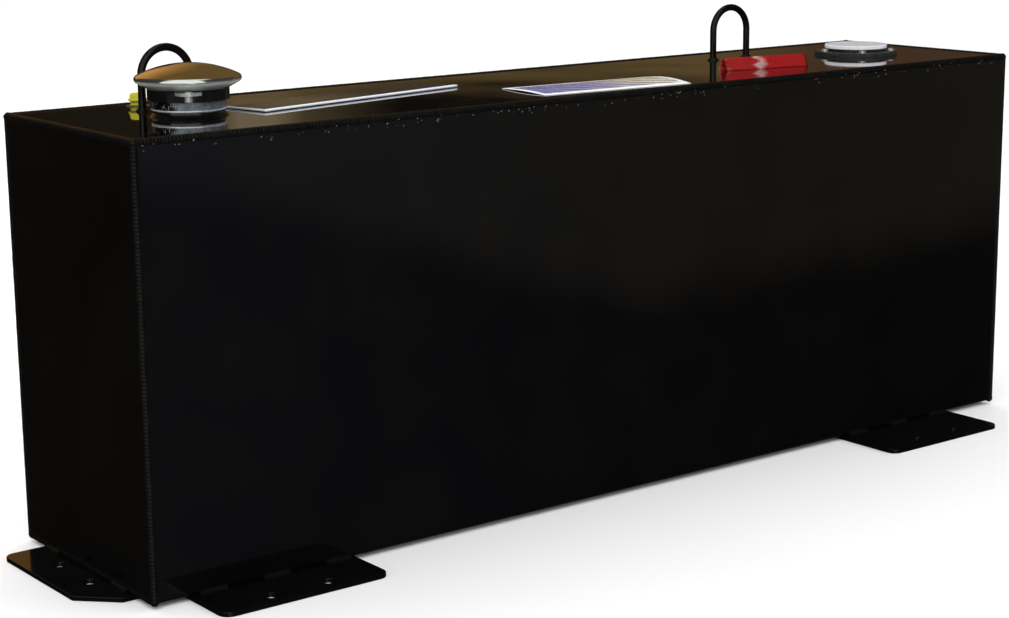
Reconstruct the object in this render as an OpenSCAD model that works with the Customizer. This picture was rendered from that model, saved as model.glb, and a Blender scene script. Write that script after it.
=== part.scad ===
// Truck bed transfer tank for fuel, folded and welded from sheet steel.
// The origin is the middle of the footprint, at the underside of the feet. X runs along the
// tank from the filler end to the gauge end, Y runs from the front to the back, and Z is up.
// Heights of what stands on the tank are measured from the top face of the top plate.

/* [Tank body] */
// Length of the tank body
body_l = 1220; // [1100:10:1500]
// Depth of the tank body, front to back
body_w = 273; // [250:1:360]
// Height of the tank body without its feet
body_h = 447; // [380:1:520]
// Thickness of the body sheet
sheet_t = 2; // [1.5:0.1:2.6]
// Outside radius of the two bottom bends
bend_r = 5; // [4:0.5:8]
// Radius of a seam weld bead
bead_r = 4.6; // [4.2:0.1:5.4]
// Distance of a bead's centre line from the outer faces
bead_inset = 3; // [2.7:0.1:3.4]

/* [Baffles] */
// Distance between the two baffles
baffle_spacing = 400; // [300:10:460]
// Thickness of a baffle
baffle_t = 2; // [1.5:0.1:3]
// Length of a baffle's welding flange
baffle_flange = 20; // [12:1:35]
// Outside radius of a baffle's bends
baffle_bend_r = 4; // [3.2:0.2:6]
// Diameter of the flow hole in a baffle
baffle_hole_d = 110; // [60:5:140]
// Side of the drain notch in a baffle's lower corners
baffle_notch = 40; // [20:1:60]
// Air gap between a baffle and the top plate
baffle_gap = 25; // [15:1:50]

/* [Feet] */
// Length of a foot plate along the tank's side
foot_l = 190; // [150:1:230]
// Depth of a front foot plate, with the part beneath the tank
foot_depth = 330; // [300:1:350]
// Thickness of a foot plate
foot_t = 4.8; // [3:0.1:8]
// Reach of the left front foot in front of the tank
foot_reach_left = 62; // [50:1:80]
// Reach of the right front foot in front of the tank
foot_reach_right = 82; // [60:1:95]
// Distance of the left front foot from the left end
foot_inset_left = 42; // [41:1:120]
// Distance of the right front foot from the right end
foot_inset_right = 85; // [41:1:120]
// Corner radius of the front feet
foot_corner_r = 12; // [5:1:17]
// Diameter of a bolt hole in a foot
bolt_d = 14.5; // [9:0.5:17]
// Distance between the two bolt holes of a foot
bolt_spacing = 66; // [50:1:110]
// Distance of a front foot's bolt holes from its front edge
bolt_edge = 18; // [14:1:26]
// Length of an end foot plate
end_foot_l = 194; // [150:1:210]
// Reach of an end foot beyond the tank's end
end_reach = 48; // [40:1:70]
// Depth of an end foot beneath the tank
end_tuck = 38; // [20:1:40]
// Distance of an end foot's bolt holes from the tank's end
end_bolt_gap = 15; // [14:1:30]
// Side of the cut corner of an end foot
end_cut = 36; // [20:1:40]
// Radius of the stitch welds on the feet
stitch_r = 4.2; // [3:0.1:5]
// Length of one stitch weld
stitch_l = 30; // [15:1:50]

/* [Filler neck and cap] */
// Distance of the filler neck from the left end
neck_x_gap = 136; // [110:1:180]
// Outside radius of the neck tube
neck_r = 36; // [34:0.5:36.5]
// Radius of the neck's bore
neck_bore_r = 33; // [30:0.5:33]
// Height of the neck tube above the top plate
neck_h = 6; // [4:0.5:12]
// Length of the neck tube below the top plate's upper face
neck_drop = 8; // [4:0.5:20]
// Outside radius of the neck ring
ring_r = 37.5; // [37:0.1:37.6]
// Height of the neck ring
ring_h = 11; // [8:0.5:16]
// Chamfer on the lower edge of the neck ring
ring_chamfer = 1.2; // [0.5:0.1:2]
// Leg of the fillet weld round the neck
neck_weld_leg = 4; // [2:0.5:5]
// Outside radius of the cap plug's skirt
skirt_r = 41; // [40.5:0.1:42]
// Height of the cap plug's skirt
skirt_h = 11.3; // [10:0.1:14]
// Depth of the plug's spigot below the gasket seat
spigot_depth = 10.8; // [6:0.2:14]
// Wall of the plug's spigot
spigot_wall = 3.4; // [2:0.2:5]
// Thickness of the cap gasket
cap_gasket_t = 1.5; // [1:0.1:3]
// Outside radius of the cap dome
dome_r = 53.5; // [50:0.5:55]
// Radius of the dome's rolled rim
dome_rim_r = 4; // [3:0.5:6]
// Height of the rim's widest line above the dome's underside
dome_rim_h = 9; // [7:0.5:11]
// Radius at which the dome's lower flank begins
dome_flank_r = 41.5; // [41.2:0.1:44]
// Height from the dome's underside to its top
dome_h = 24.3; // [20:0.1:28]
// Wall of the dome
dome_wall = 1.2; // [0.8:0.1:2]
// Radius of the spindle that the dome turns on
spindle_r = 6; // [4:0.5:9]
// Radius of the spindle's head
spindle_head_r = 12; // [9:0.5:18]
// Radius of the lock lug
lug_r = 13.5; // [10:0.5:16]
// Thickness of the lock lug
lug_t = 2.8; // [2:0.1:4]
// Radius of the lock barrel
barrel_r = 4; // [3:0.5:6]
// Length of the lock barrel
barrel_l = 9.8; // [7:0.1:11]
// Direction of the lock lug, seen from above
lug_angle = 241; // [200:1:340]

/* [Lift eyes] */
// Distance of the left lift eye from the left end
eye_left_gap = 144; // [130:1:170]
// Distance of the right lift eye from the right end
eye_right_gap = 288; // [240:1:330]
// Distance of the lift eyes behind the middle of the top plate
eye_back = 60; // [50:1:75]
// Diameter of the lift eye rod
eye_rod_d = 8; // [6:0.5:8]
// Distance between the legs of a lift eye
eye_span = 56; // [44:1:70]
// Height of a lift eye
eye_h = 67.5; // [55:0.5:90]
// Leg of the fillet weld round a lift eye's foot
eye_weld_leg = 4; // [2:0.5:6]

/* [Vent] */
// Distance of the vent from the left end
vent_x_gap = 135; // [100:1:170]
// Distance of the vent from the back of the tank
vent_back_gap = 31; // [24:1:40]
// Outside radius of the vent bung
bung_r = 12.5; // [11:0.5:14]
// Bore radius of the vent bung
bung_bore_r = 7; // [5:0.5:8]
// Length of the vent bung
bung_l = 15; // [10:1:25]
// Radius of the vent plug's flange
plug_flange_r = 10.5; // [9.5:0.5:12]
// Height of the vent plug above its bung
plug_h = 12.5; // [10:0.5:16]
// Length of the vent plug's shank in the bung
plug_shank = 10; // [5:1:13]

/* [Float gauge] */
// Distance of the gauge from the right end
gauge_x_gap = 126; // [110:1:150]
// Radius of the gauge's flange
flange_r = 51.5; // [49:0.5:56]
// Thickness of the gauge's flange
flange_t = 3; // [2:0.5:5]
// Radius of the screw circle
screw_circle_r = 44; // [43:0.5:46]
// Number of gauge screws
screw_count = 5; // [4:1:8]
// Shank radius of a gauge screw
screw_r = 2.5; // [2:0.1:3]
// Head radius of a gauge screw
screw_head_r = 4.6; // [3.6:0.1:4.8]
// Height of a gauge screw's head
screw_head_h = 3.4; // [2.5:0.1:4]
// Thickness of the gauge's gasket
gasket_t = 1.5; // [1:0.1:3]
// Thickness of the weld pad beneath the top plate
pad_t = 6; // [4:0.5:10]
// Radius of the hole for the gauge
gauge_hole_r = 21; // [20.8:0.1:23]
// Radius of the dial
dial_r = 39; // [36:0.5:39]
// Height of the dial
dial_h = 4.5; // [4.2:0.1:8]
// Height of the head's boss above its flange
boss_h = 3.5; // [2:0.5:8]
// Wall of the dial cup
cup_wall = 2.5; // [1.5:0.1:4]
// Outside radius of the support tube
tube_r = 5; // [4.6:0.1:6]
// Wall of the support tube
tube_wall = 1.4; // [0.8:0.1:2]
// Radius of the drive shaft
shaft_r = 1.5; // [1:0.1:2]
// Module of the bevel gears
gear_module = 1.1; // [0.9:0.05:1.12]
// Teeth of the pinion on the drive shaft
pinion_teeth = 12; // [10:1:14]
// Teeth of the gear on the float arm
gear_teeth = 30; // [28:1:32]
// Play between the gears' teeth
gear_play = 0.35; // [0.1:0.05:0.4]
// Tip height of the arm gear's teeth as a share of the module, short to clear the small pinion
gear_tip_share = 0.7; // [0.6:0.05:0.8]
// Swing of the float arm from empty to full
float_swing = 110; // [80:1:120]
// Radius of the float
float_r = 19; // [14:0.5:20]
// Length of the float
float_l = 56; // [40:1:70]
// Space left above and below the float
float_clear = 45; // [30:1:70]
// Radius of the float arm
arm_r = 1.6; // [1.2:0.1:2]

/* [Cards on the top plate] */
// Thickness of the long dark card
card_t = 3; // [1:0.1:5]
// Thickness of the light blue card
blue_card_t = 4; // [1:0.1:6]
// Thickness of the folded red card
red_card_t = 1.2; // [0.6:0.1:2]
// Height of the folded red card
red_card_h = 15; // [8:0.5:20]

/* [Hidden] */
$fn = 64;

// Gap that parts which come apart keep at rest, and the small gap of a part set in a hole
rest_gap = 0.3;
seat_gap = 0.1;
running_gap = 0.05;
// A cut runs this far past the face that it opens
past = 1;

// Places of the tank's outer faces
bead_proud = bead_r - bead_inset;
reach_max = max(foot_reach_left, foot_reach_right);
body_y = (reach_max - bead_proud) / 2;
left_x = -body_l / 2;
right_x = body_l / 2;
front_y = body_y - body_w / 2;
back_y = body_y + body_w / 2;
floor_z = foot_t;
top_z = foot_t + body_h;
inner_w = body_w - 2 * sheet_t;

// Filler neck and cap, from the neck's base upwards
neck_x = left_x + neck_x_gap;
ring_top = neck_h + ring_h;
gasket_base = ring_top + rest_gap;
gasket_seat = gasket_base + cap_gasket_t;
skirt_base = ring_top - 0.4;
plug_top = skirt_base + skirt_h;
web_t = 4;
skirt_bore_r = ring_r + 0.6;
spigot_r = neck_bore_r - 0.6;
dome_base = plug_top + rest_gap;
rim_centre_r = dome_r - dome_rim_r;
lug_distance = skirt_r;
lug_base = plug_top - lug_t - 0.7;
barrel_distance = skirt_r + 6;
barrel_top = dome_base;

// Radius of the dome's crown, which runs tangent into the rolled rim
crown_rise = dome_h - dome_rim_h;
crown_r = (pow(rim_centre_r, 2) + pow(crown_rise, 2) - pow(dome_rim_r, 2))
    / (2 * (crown_rise - dome_rim_r));
crown_centre = dome_h - crown_r;

// Slope of the lower flank, which runs tangent into the rolled rim
flank_reach = norm([rim_centre_r - dome_flank_r, dome_rim_h]);
flank_slope = atan2(dome_rim_h, rim_centre_r - dome_flank_r) - asin(dome_rim_r / flank_reach);

// Lift eyes and vent
eye_y = body_y + eye_back;
eye_left_x = left_x + eye_left_gap;
eye_right_x = right_x - eye_right_gap;
eye_rod_r = eye_rod_d / 2;
eye_bend_z = eye_h - eye_span / 2 - eye_rod_r;
vent_x = left_x + vent_x_gap;
vent_y = back_y - vent_back_gap;
bung_lip = 0.8;

// Gauge head, dial and stem
gauge_x = right_x - gauge_x_gap;
flange_top = gasket_t + flange_t;
boss_top = flange_top + boss_h;
boss_r = screw_circle_r - screw_head_r - 4;
spigot_drop = sheet_t + pad_t;
hub_r = tube_r + 3;
hub_drop = spigot_drop + 12;
tube_seat = hub_drop - 8;
pocket_top = 2;
magnet_r = 4;
magnet_t = 5;
magnet_top = pocket_top + 1;
cup_floor = 1.2;
face_t = 0.8;
lens_t = 0.9;
face_top = boss_top + cup_floor + face_t;
needle_t = 0.6;
dial_pin_r = 0.8;
pointer_base = face_top + rest_gap;
pointer_angle = 225;

// Bevel gears: both cones meet at the pivot, which lies halfway down the tank
pivot_drop = body_h / 2;
pinion_cone = atan(pinion_teeth / gear_teeth);
gear_cone = 90 - pinion_cone;
pinion_pitch_r = gear_module * pinion_teeth / 2;
gear_pitch_r = gear_module * gear_teeth / 2;
cone_l = sqrt(pow(pinion_pitch_r, 2) + pow(gear_pitch_r, 2));
face_share = 0.7;
pressure_angle = 20;
flank_steps = 4;
gear_back = 2;
gear_hub_r = 4.2;
pin_r = 2;
ear_t = 2;
pinion_tip_r = gear_pitch_r * tan(pinion_cone + atan(gear_module / cone_l));
tip_clear = 0.4;
gear_web_r = (pinion_pitch_r - tip_clear) * gear_pitch_r / pinion_tip_r;
ear_front = -pinion_tip_r - 0.6;
ear_back = pinion_pitch_r + gear_back + 0.4;
ear_half = 6;
yoke_drop = -(gear_pitch_r + gear_module * 4);
yoke_t = 2;
arm_angle = float_swing / 2;
arm_y = -3.5;
arm_l = (body_h / 2 - sheet_t - float_r - float_clear) / sin(arm_angle);
arm_seat = 12;

// Cards: corner or middle on the top plate, from the left end and the front of the tank
card_corner = [205, 104];
card_size = [288, 62];
card_turn = 11.7;
blue_card_corner = [507, 32];
blue_card_size = [196, 84];
blue_card_turn = -4.5;
red_card_corner = [826, 88];
red_card_length = 114;
red_card_turn = -11;
red_card_lean = 10;

// Involute function and the half angle of a tooth at a radius of the back cone's spur gear
function involute(a) = tan(a) - a * PI / 180;
function back_r(teeth, cone) = gear_module * teeth / cos(cone) / 2;
function tooth_half(teeth, cone, r) =
    let (r0 = back_r(teeth, cone),
         base = r0 * cos(pressure_angle),
         at = acos(min(1, base / max(r, base))),
         half0 = (PI * gear_module / 2 - gear_play / 2) / 2 / r0)
    (half0 + involute(pressure_angle) - involute(at)) * 180 / PI / cos(cone);

// One flank from root to tip, as pairs of angle and radius in a plane at a distance from the apex
function flank(teeth, cone, plane, tip_share) =
    let (r0 = back_r(teeth, cone),
         root = r0 - 1.25 * gear_module,
         tip = r0 + tip_share * gear_module)
    [for (i = [0 : flank_steps])
        let (r = root + (tip - root) * i / flank_steps)
        [tooth_half(teeth, cone, r), plane * tan(cone + atan((r - r0) / cone_l))]];

function gear_outline(teeth, cone, plane, phase, tip_share) =
    let (side = flank(teeth, cone, plane, tip_share))
    [for (t = [0 : teeth - 1])
        let (middle = phase + t * 360 / teeth)
        each concat(
            [for (p = side) p[1] * [cos(middle - p[0]), sin(middle - p[0])]],
            [for (i = [len(side) - 1 : -1 : 0])
                side[i][1] * [cos(middle + side[i][0]), sin(middle + side[i][0])]])];

// Straight bevel gear with its apex at the origin, opening along +Z to its large end
module bevel_gear(teeth, cone, large, phase, tip_share) {
    small = large * face_share;
    translate([0, 0, small])
        linear_extrude(height = large - small, scale = 1 / face_share)
            polygon(gear_outline(teeth, cone, small, phase, tip_share));
}

// Cross-section of the tank in Y and Z, set in by a distance, open at the top
module tank_section(inset, height) {
    r = bend_r - inset;
    translate([front_y + inset, floor_z + bend_r])
        square([body_w - 2 * inset, height - bend_r]);
    translate([front_y + bend_r, floor_z + inset])
        square([body_w - 2 * bend_r, height - inset]);
    for (y = [front_y + bend_r, back_y - bend_r])
        translate([y, floor_z + bend_r])
            circle(r);
}

// Extrudes a section drawn in Y and Z along X
module along_x(from, to) {
    translate([from, 0, 0])
        rotate([90, 0, 90])
            linear_extrude(height = to - from)
                children();
}

// Round bar along X, Y or Z between two points
module bar_x(from, to, y, z, r) {
    translate([from, y, z])
        rotate([0, 90, 0])
            cylinder(h = to - from, r = r);
}

module bar_y(from, to, x, z, r) {
    translate([x, from, z])
        rotate([-90, 0, 0])
            cylinder(h = to - from, r = r);
}

module bar_z(from, to, x, y, r) {
    translate([x, y, from])
        cylinder(h = to - from, r = r);
}

// Moves what stands on the top plate to its place there
module on_top(x, y) {
    translate([x, y, top_z])
        children();
}

// Everything inside the tank's envelope apart from the notches that the beads fill
module tank_core() {
    along_x(left_x + sheet_t, right_x - sheet_t)
        tank_section(0, body_h - sheet_t);
    along_x(left_x, right_x)
        tank_section(sheet_t, body_h - sheet_t);
    translate([left_x + sheet_t, front_y + sheet_t, floor_z + bend_r])
        cube([body_l - 2 * sheet_t, inner_w, body_h - bend_r]);
}

// Front, bottom and back walls folded from one sheet
module tank_wrap() {
    color([0.04, 0.04, 0.045])
        along_x(left_x + sheet_t, right_x - sheet_t)
            difference() {
                tank_section(0, body_h - sheet_t);
                tank_section(sheet_t, body_h + past);
            }
}

module end_sheet(x) {
    color([0.05, 0.045, 0.04])
        along_x(x, x + sheet_t)
            tank_section(sheet_t, body_h - sheet_t);
}

module tank_end_left() {
    end_sheet(left_x);
}

module tank_end_right() {
    end_sheet(right_x - sheet_t);
}

// Screw holes on the gauge's circle
module screw_holes(r, low, high) {
    for (i = [0 : screw_count - 1])
        rotate([0, 0, 360 * i / screw_count + 18])
            bar_z(low, high, screw_circle_r, 0, r);
}

module top_plate() {
    color([0.07, 0.06, 0.05])
        difference() {
            translate([left_x + sheet_t, front_y + sheet_t, top_z - sheet_t])
                cube([body_l - 2 * sheet_t, inner_w, sheet_t]);
            on_top(neck_x, body_y)
                bar_z(-sheet_t - past, past, 0, 0, neck_r + seat_gap);
            on_top(gauge_x, body_y) {
                bar_z(-sheet_t - past, past, 0, 0, gauge_hole_r);
                screw_holes(screw_r + seat_gap, -sheet_t - past, past);
            }
            on_top(vent_x, vent_y)
                bar_z(-sheet_t - past, past, 0, 0, bung_r + seat_gap);
        }
}

// Folded channel that slows the fuel, with a flow hole and two drain notches
module baffle_section() {
    difference() {
        channel_outline(0);
        channel_outline(baffle_t);
    }
}

module channel_outline(inset) {
    r = baffle_bend_r - inset;
    reach = baffle_flange + (inset > 0 ? past : 0);
    translate([baffle_bend_r, front_y + sheet_t + inset])
        square([reach - baffle_bend_r, inner_w - 2 * inset]);
    translate([inset, front_y + sheet_t + baffle_bend_r])
        square([baffle_bend_r, inner_w - 2 * baffle_bend_r]);
    for (y = [front_y + sheet_t + baffle_bend_r, back_y - sheet_t - baffle_bend_r])
        translate([baffle_bend_r, y])
            circle(r);
}

module baffle() {
    low = floor_z + sheet_t;
    high = top_z - sheet_t - baffle_gap;
    difference() {
        translate([0, 0, low])
            linear_extrude(height = high - low)
                baffle_section();
        bar_x(-past, baffle_t + past, body_y, (low + high) / 2, baffle_hole_d / 2);
        for (y = [front_y, back_y - baffle_notch])
            translate([-past, y, low - past])
                cube([baffle_flange + 2 * past, baffle_notch, baffle_notch + past]);
    }
}

module baffle_left() {
    color([0.35, 0.36, 0.37])
        translate([-baffle_spacing / 2, 0, 0])
            baffle();
}

module baffle_right() {
    color([0.35, 0.36, 0.37])
        translate([baffle_spacing / 2, 0, 0])
            mirror([1, 0, 0])
                baffle();
}

// Beads along every open corner, ground flush beneath the tank
module seam_welds() {
    x_line = [left_x + bead_inset, right_x - bead_inset];
    y_line = [front_y + bead_inset, back_y - bead_inset];
    seam_z = top_z - bead_inset;
    color([0.09, 0.09, 0.095])
        difference() {
            union() {
                for (y = y_line)
                    bar_x(left_x - bead_proud, right_x + bead_proud, y, seam_z, bead_r);
                for (x = x_line) {
                    bar_y(front_y - bead_proud, back_y + bead_proud, x, seam_z, bead_r);
                    bar_y(front_y + bead_inset, back_y - bead_inset, x, floor_z + bead_inset, bead_r);
                    for (y = y_line)
                        bar_z(floor_z, seam_z, x, y, bead_r);
                }
            }
            tank_core();
            translate([left_x - end_reach, front_y - reach_max, floor_z - 2 * bead_r])
                cube([body_l + 2 * end_reach, body_w + 2 * reach_max, 2 * bead_r]);
        }
}

// Outline of a front foot with two round corners and two bolt holes, front edge at y = 0
module front_foot(x, reach) {
    color([0.06, 0.06, 0.065])
        translate([x, front_y - reach, 0])
            linear_extrude(height = foot_t)
                difference() {
                    union() {
                        translate([0, foot_corner_r])
                            square([foot_l, foot_depth - foot_corner_r]);
                        translate([foot_corner_r, 0])
                            square([foot_l - 2 * foot_corner_r, foot_corner_r]);
                        for (c = [foot_corner_r, foot_l - foot_corner_r])
                            translate([c, foot_corner_r])
                                circle(foot_corner_r);
                    }
                    for (s = [-1, 1])
                        translate([foot_l / 2 + s * bolt_spacing / 2, bolt_edge])
                            circle(bolt_d / 2);
                }
}

module foot_front_left() {
    front_foot(left_x + foot_inset_left, foot_reach_left);
}

module foot_front_right() {
    front_foot(right_x - foot_inset_right - foot_l, foot_reach_right);
}

// End foot with a cut front corner and a round back corner, tank end at x = 0
module end_foot() {
    half = end_foot_l / 2;
    color([0.06, 0.06, 0.065])
        linear_extrude(height = foot_t)
            difference() {
                union() {
                    translate([-end_reach, -half])
                        square([end_reach + end_tuck, end_foot_l - foot_corner_r]);
                    translate([foot_corner_r - end_reach, -half])
                        square([end_reach + end_tuck - foot_corner_r, end_foot_l]);
                    translate([foot_corner_r - end_reach, half - foot_corner_r])
                        circle(foot_corner_r);
                }
                polygon([[-end_reach - past, -half - past],
                    [end_cut - end_reach + past, -half - past],
                    [-end_reach - past, end_cut - half + past]]);
                for (s = [-1, 1])
                    translate([-end_bolt_gap, s * bolt_spacing / 2])
                        circle(bolt_d / 2);
            }
}

module foot_end_left() {
    translate([left_x, body_y, 0])
        end_foot();
}

module foot_end_right() {
    translate([right_x, body_y, 0])
        mirror([1, 0, 0])
            end_foot();
}

// Short fillet beads where the feet meet the tank's lower edge
module foot_welds() {
    inset = stitch_l / 2 + 8;
    front_feet = [left_x + foot_inset_left, right_x - foot_inset_right - foot_l];
    seat = floor_z + 0.5;
    color([0.09, 0.09, 0.095])
        difference() {
            union() {
                for (x = front_feet)
                    for (c = [inset, foot_l / 2, foot_l - inset])
                        bar_x(x + c - stitch_l / 2, x + c + stitch_l / 2, front_y, seat, stitch_r);
                for (x = [left_x - bead_proud, right_x + bead_proud])
                    for (c = [-end_foot_l / 2 + inset, end_foot_l / 2 - inset])
                        bar_y(body_y + c - stitch_l / 2, body_y + c + stitch_l / 2, x, seat, stitch_r);
            }
            tank_core();
            for (x = [left_x + bead_inset, right_x - bead_inset])
                bar_y(front_y, back_y, x, floor_z + bead_inset, bead_r);
            translate([left_x - end_reach, front_y - reach_max, floor_z - 2 * stitch_r])
                cube([body_l + 2 * end_reach, body_w + 2 * reach_max, 2 * stitch_r]);
        }
}

module neck_tube() {
    color([0.05, 0.05, 0.06])
        on_top(neck_x, body_y)
            rotate_extrude()
                translate([neck_bore_r, -neck_drop])
                    square([neck_r - neck_bore_r, neck_drop + neck_h]);
}

module neck_weld() {
    color([0.09, 0.09, 0.095])
        on_top(neck_x, body_y)
            rotate_extrude()
                polygon([[neck_r, 0], [neck_r + neck_weld_leg, 0], [neck_r, neck_weld_leg]]);
}

module neck_ring() {
    color([0.55, 0.57, 0.62])
        on_top(neck_x, body_y)
            rotate_extrude()
                polygon([[neck_bore_r, neck_h], [ring_r - ring_chamfer, neck_h],
                    [ring_r, neck_h + ring_chamfer], [ring_r, ring_top - ring_chamfer / 2],
                    [ring_r - ring_chamfer / 2, ring_top], [neck_bore_r, ring_top]]);
}

// Plug with a spigot in the neck, a seat for the gasket and a skirt round the neck ring
module cap_plug() {
    edge = 0.8;
    color([0.06, 0.06, 0.07])
        on_top(neck_x, body_y)
            rotate_extrude()
                polygon([[spindle_r, plug_top - web_t],
                    [spigot_r - spigot_wall, plug_top - web_t],
                    [spigot_r - spigot_wall, gasket_seat - spigot_depth],
                    [spigot_r, gasket_seat - spigot_depth], [spigot_r, gasket_seat],
                    [skirt_bore_r, gasket_seat], [skirt_bore_r, skirt_base],
                    [skirt_r, skirt_base], [skirt_r, plug_top - edge],
                    [skirt_r - edge, plug_top], [spindle_r, plug_top]]);
}

module cap_gasket() {
    color([0.05, 0.05, 0.05])
        on_top(neck_x, body_y)
            rotate_extrude()
                translate([spigot_r, gasket_base])
                    square([skirt_bore_r - spigot_r, cap_gasket_t]);
}

// Headed spindle riveted into the plug, on which the dome turns
module cap_spindle() {
    head_base = dome_base + dome_wall + rest_gap;
    rivet_t = 2;
    color([0.6, 0.6, 0.62])
        on_top(neck_x, body_y)
            rotate_extrude()
                polygon([[0, plug_top - web_t - rivet_t],
                    [spindle_r + 3, plug_top - web_t - rivet_t],
                    [spindle_r + 3, plug_top - web_t], [spindle_r, plug_top - web_t],
                    [spindle_r, head_base], [spindle_head_r, head_base],
                    [spindle_head_r, head_base + rivet_t], [0, head_base + rivet_t]]);
}

// Half profile of the dome: crown, rolled rim, slanted flank and underside, set in by a wall
module dome_profile(inset) {
    blend_r = rim_centre_r * crown_r / (crown_r - dome_rim_r);
    rim_r = dome_rim_r - inset;
    intersection() {
        translate([0, crown_centre])
            circle(crown_r - inset, $fn = 128);
        translate([0, dome_rim_h])
            square([blend_r, dome_h]);
    }
    translate([rim_centre_r, dome_rim_h])
        circle(rim_r);
    polygon([[0, inset], [dome_flank_r - inset * tan(flank_slope / 2), inset],
        [rim_centre_r + rim_r * sin(flank_slope), dome_rim_h - rim_r * cos(flank_slope)],
        [rim_centre_r, dome_rim_h], [0, dome_rim_h]]);
}

// Spun cover that turns freely on the spindle
module cap_dome() {
    color([0.72, 0.68, 0.6])
        on_top(neck_x, body_y)
            translate([0, 0, dome_base])
                rotate_extrude($fn = 128)
                    difference() {
                        dome_profile(0);
                        dome_profile(dome_wall);
                        translate([-past, -past])
                            square([spindle_r + running_gap + past, dome_wall + 2 * past]);
                    }
}

// Half-moon lug on the plug's skirt, with the lock barrel through it
module lock_lug() {
    color([0.75, 0.76, 0.78])
        on_top(neck_x, body_y)
            rotate([0, 0, lug_angle])
                difference() {
                    bar_z(lug_base, lug_base + lug_t, lug_distance, 0, lug_r);
                    bar_z(lug_base - past, lug_base + lug_t + past, 0, 0, skirt_r);
                    bar_z(lug_base - past, lug_base + lug_t + past, barrel_distance, 0, barrel_r);
                }
}

module lock_barrel() {
    color([0.8, 0.8, 0.82])
        on_top(neck_x, body_y)
            rotate([0, 0, lug_angle])
                bar_z(barrel_top - barrel_l, barrel_top, barrel_distance, 0, barrel_r);
}

// Round rod bent to a U, standing on the top plate
module lift_eye(x) {
    color([0.05, 0.05, 0.055])
        on_top(x, eye_y) {
            for (s = [-1, 1])
                bar_z(0, eye_bend_z, s * eye_span / 2, 0, eye_rod_r);
            translate([0, 0, eye_bend_z])
                rotate([90, 0, 0])
                    rotate_extrude(angle = 180)
                        translate([eye_span / 2, 0])
                            circle(eye_rod_r);
        }
}

module eye_left() {
    lift_eye(eye_left_x);
}

module eye_right() {
    lift_eye(eye_right_x);
}

module eye_welds() {
    color([0.09, 0.09, 0.095])
        for (x = [eye_left_x, eye_right_x])
            for (s = [-1, 1])
                on_top(x + s * eye_span / 2, eye_y)
                    rotate_extrude()
                        polygon([[eye_rod_r, 0], [eye_rod_r + eye_weld_leg, 0],
                            [eye_rod_r, eye_weld_leg]]);
}

module vent_bung() {
    color([0.3, 0.3, 0.31])
        on_top(vent_x, vent_y)
            rotate_extrude()
                translate([bung_bore_r, bung_lip - bung_l])
                    square([bung_r - bung_bore_r, bung_l]);
}

// Push-in plug with a shank, a foot, a finger flange and a six-sided knob
module vent_plug() {
    base = bung_lip + rest_gap;
    foot_h = 4.2;
    flange_h = 2.6;
    knob_r = 8.6;
    color([0.93, 0.9, 0.2])
        on_top(vent_x, vent_y) {
            rotate_extrude()
                polygon([[0, base - plug_shank], [bung_bore_r - 1.2, base - plug_shank],
                    [bung_bore_r - rest_gap, base], [bung_bore_r + 1, base],
                    [bung_bore_r + 1, base + foot_h], [plug_flange_r, base + foot_h],
                    [plug_flange_r, base + foot_h + flange_h], [0, base + foot_h + flange_h]]);
            translate([0, 0, base + foot_h + flange_h])
                rotate([0, 0, 10])
                    cylinder(h = plug_h - foot_h - flange_h, r = knob_r, $fn = 6);
        }
}

// Ring welded beneath the top plate, tapped for the gauge's screws
module gauge_pad() {
    color([0.3, 0.3, 0.31])
        on_top(gauge_x, body_y)
            difference() {
                bar_z(-sheet_t - pad_t, -sheet_t, 0, 0, flange_r);
                bar_z(-sheet_t - pad_t - past, past, 0, 0, gauge_hole_r);
                screw_holes(screw_r, -sheet_t - pad_t - past, past);
            }
}

module gauge_gasket() {
    color([0.05, 0.05, 0.05])
        on_top(gauge_x, body_y)
            difference() {
                bar_z(0, gasket_t, 0, 0, flange_r);
                bar_z(-past, gasket_t + past, 0, 0, gauge_hole_r);
                screw_holes(screw_r + seat_gap, -past, gasket_t + past);
            }
}

// Cast head: flange, boss for the dial, spigot in the hole and hub for the stem
module gauge_head() {
    spigot_out = gauge_hole_r - rest_gap;
    color([0.28, 0.29, 0.3])
        on_top(gauge_x, body_y)
            difference() {
                union() {
                    bar_z(gasket_t, flange_top, 0, 0, flange_r);
                    bar_z(gasket_t, boss_top, 0, 0, boss_r);
                    bar_z(-spigot_drop, flange_top, 0, 0, spigot_out);
                    bar_z(-hub_drop, flange_top, 0, 0, hub_r);
                }
                bar_z(-hub_drop - past, -tube_seat, 0, 0, tube_r);
                bar_z(-hub_drop - past, -pocket_top, 0, 0, magnet_r + rest_gap);
                screw_holes(screw_r + seat_gap, 0, boss_top);
            }
}

module gauge_screws() {
    color([0.75, 0.75, 0.77])
        on_top(gauge_x, body_y) {
            screw_holes(screw_r, -spigot_drop, flange_top);
            for (i = [0 : screw_count - 1])
                rotate([0, 0, 360 * i / screw_count + 18])
                    translate([screw_circle_r, 0, flange_top])
                        cylinder(h = screw_head_h, r = screw_head_r, $fn = 6);
        }
}

module dial_cup() {
    edge = 0.6;
    color([0.95, 0.95, 0.96])
        on_top(gauge_x, body_y)
            rotate_extrude()
                polygon([[0, boss_top], [dial_r - edge, boss_top], [dial_r, boss_top + edge],
                    [dial_r, boss_top + dial_h - edge], [dial_r - edge, boss_top + dial_h],
                    [dial_r - cup_wall, boss_top + dial_h],
                    [dial_r - cup_wall, boss_top + cup_floor], [0, boss_top + cup_floor]]);
}

// Face of the dial with the pin that the pointer turns on
module dial_face() {
    color([0.98, 0.98, 0.98])
        on_top(gauge_x, body_y) {
            bar_z(boss_top + cup_floor, face_top, 0, 0, dial_r - cup_wall);
            bar_z(face_top, face_top + needle_t + 2 * rest_gap, 0, 0, dial_pin_r);
        }
}

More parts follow.
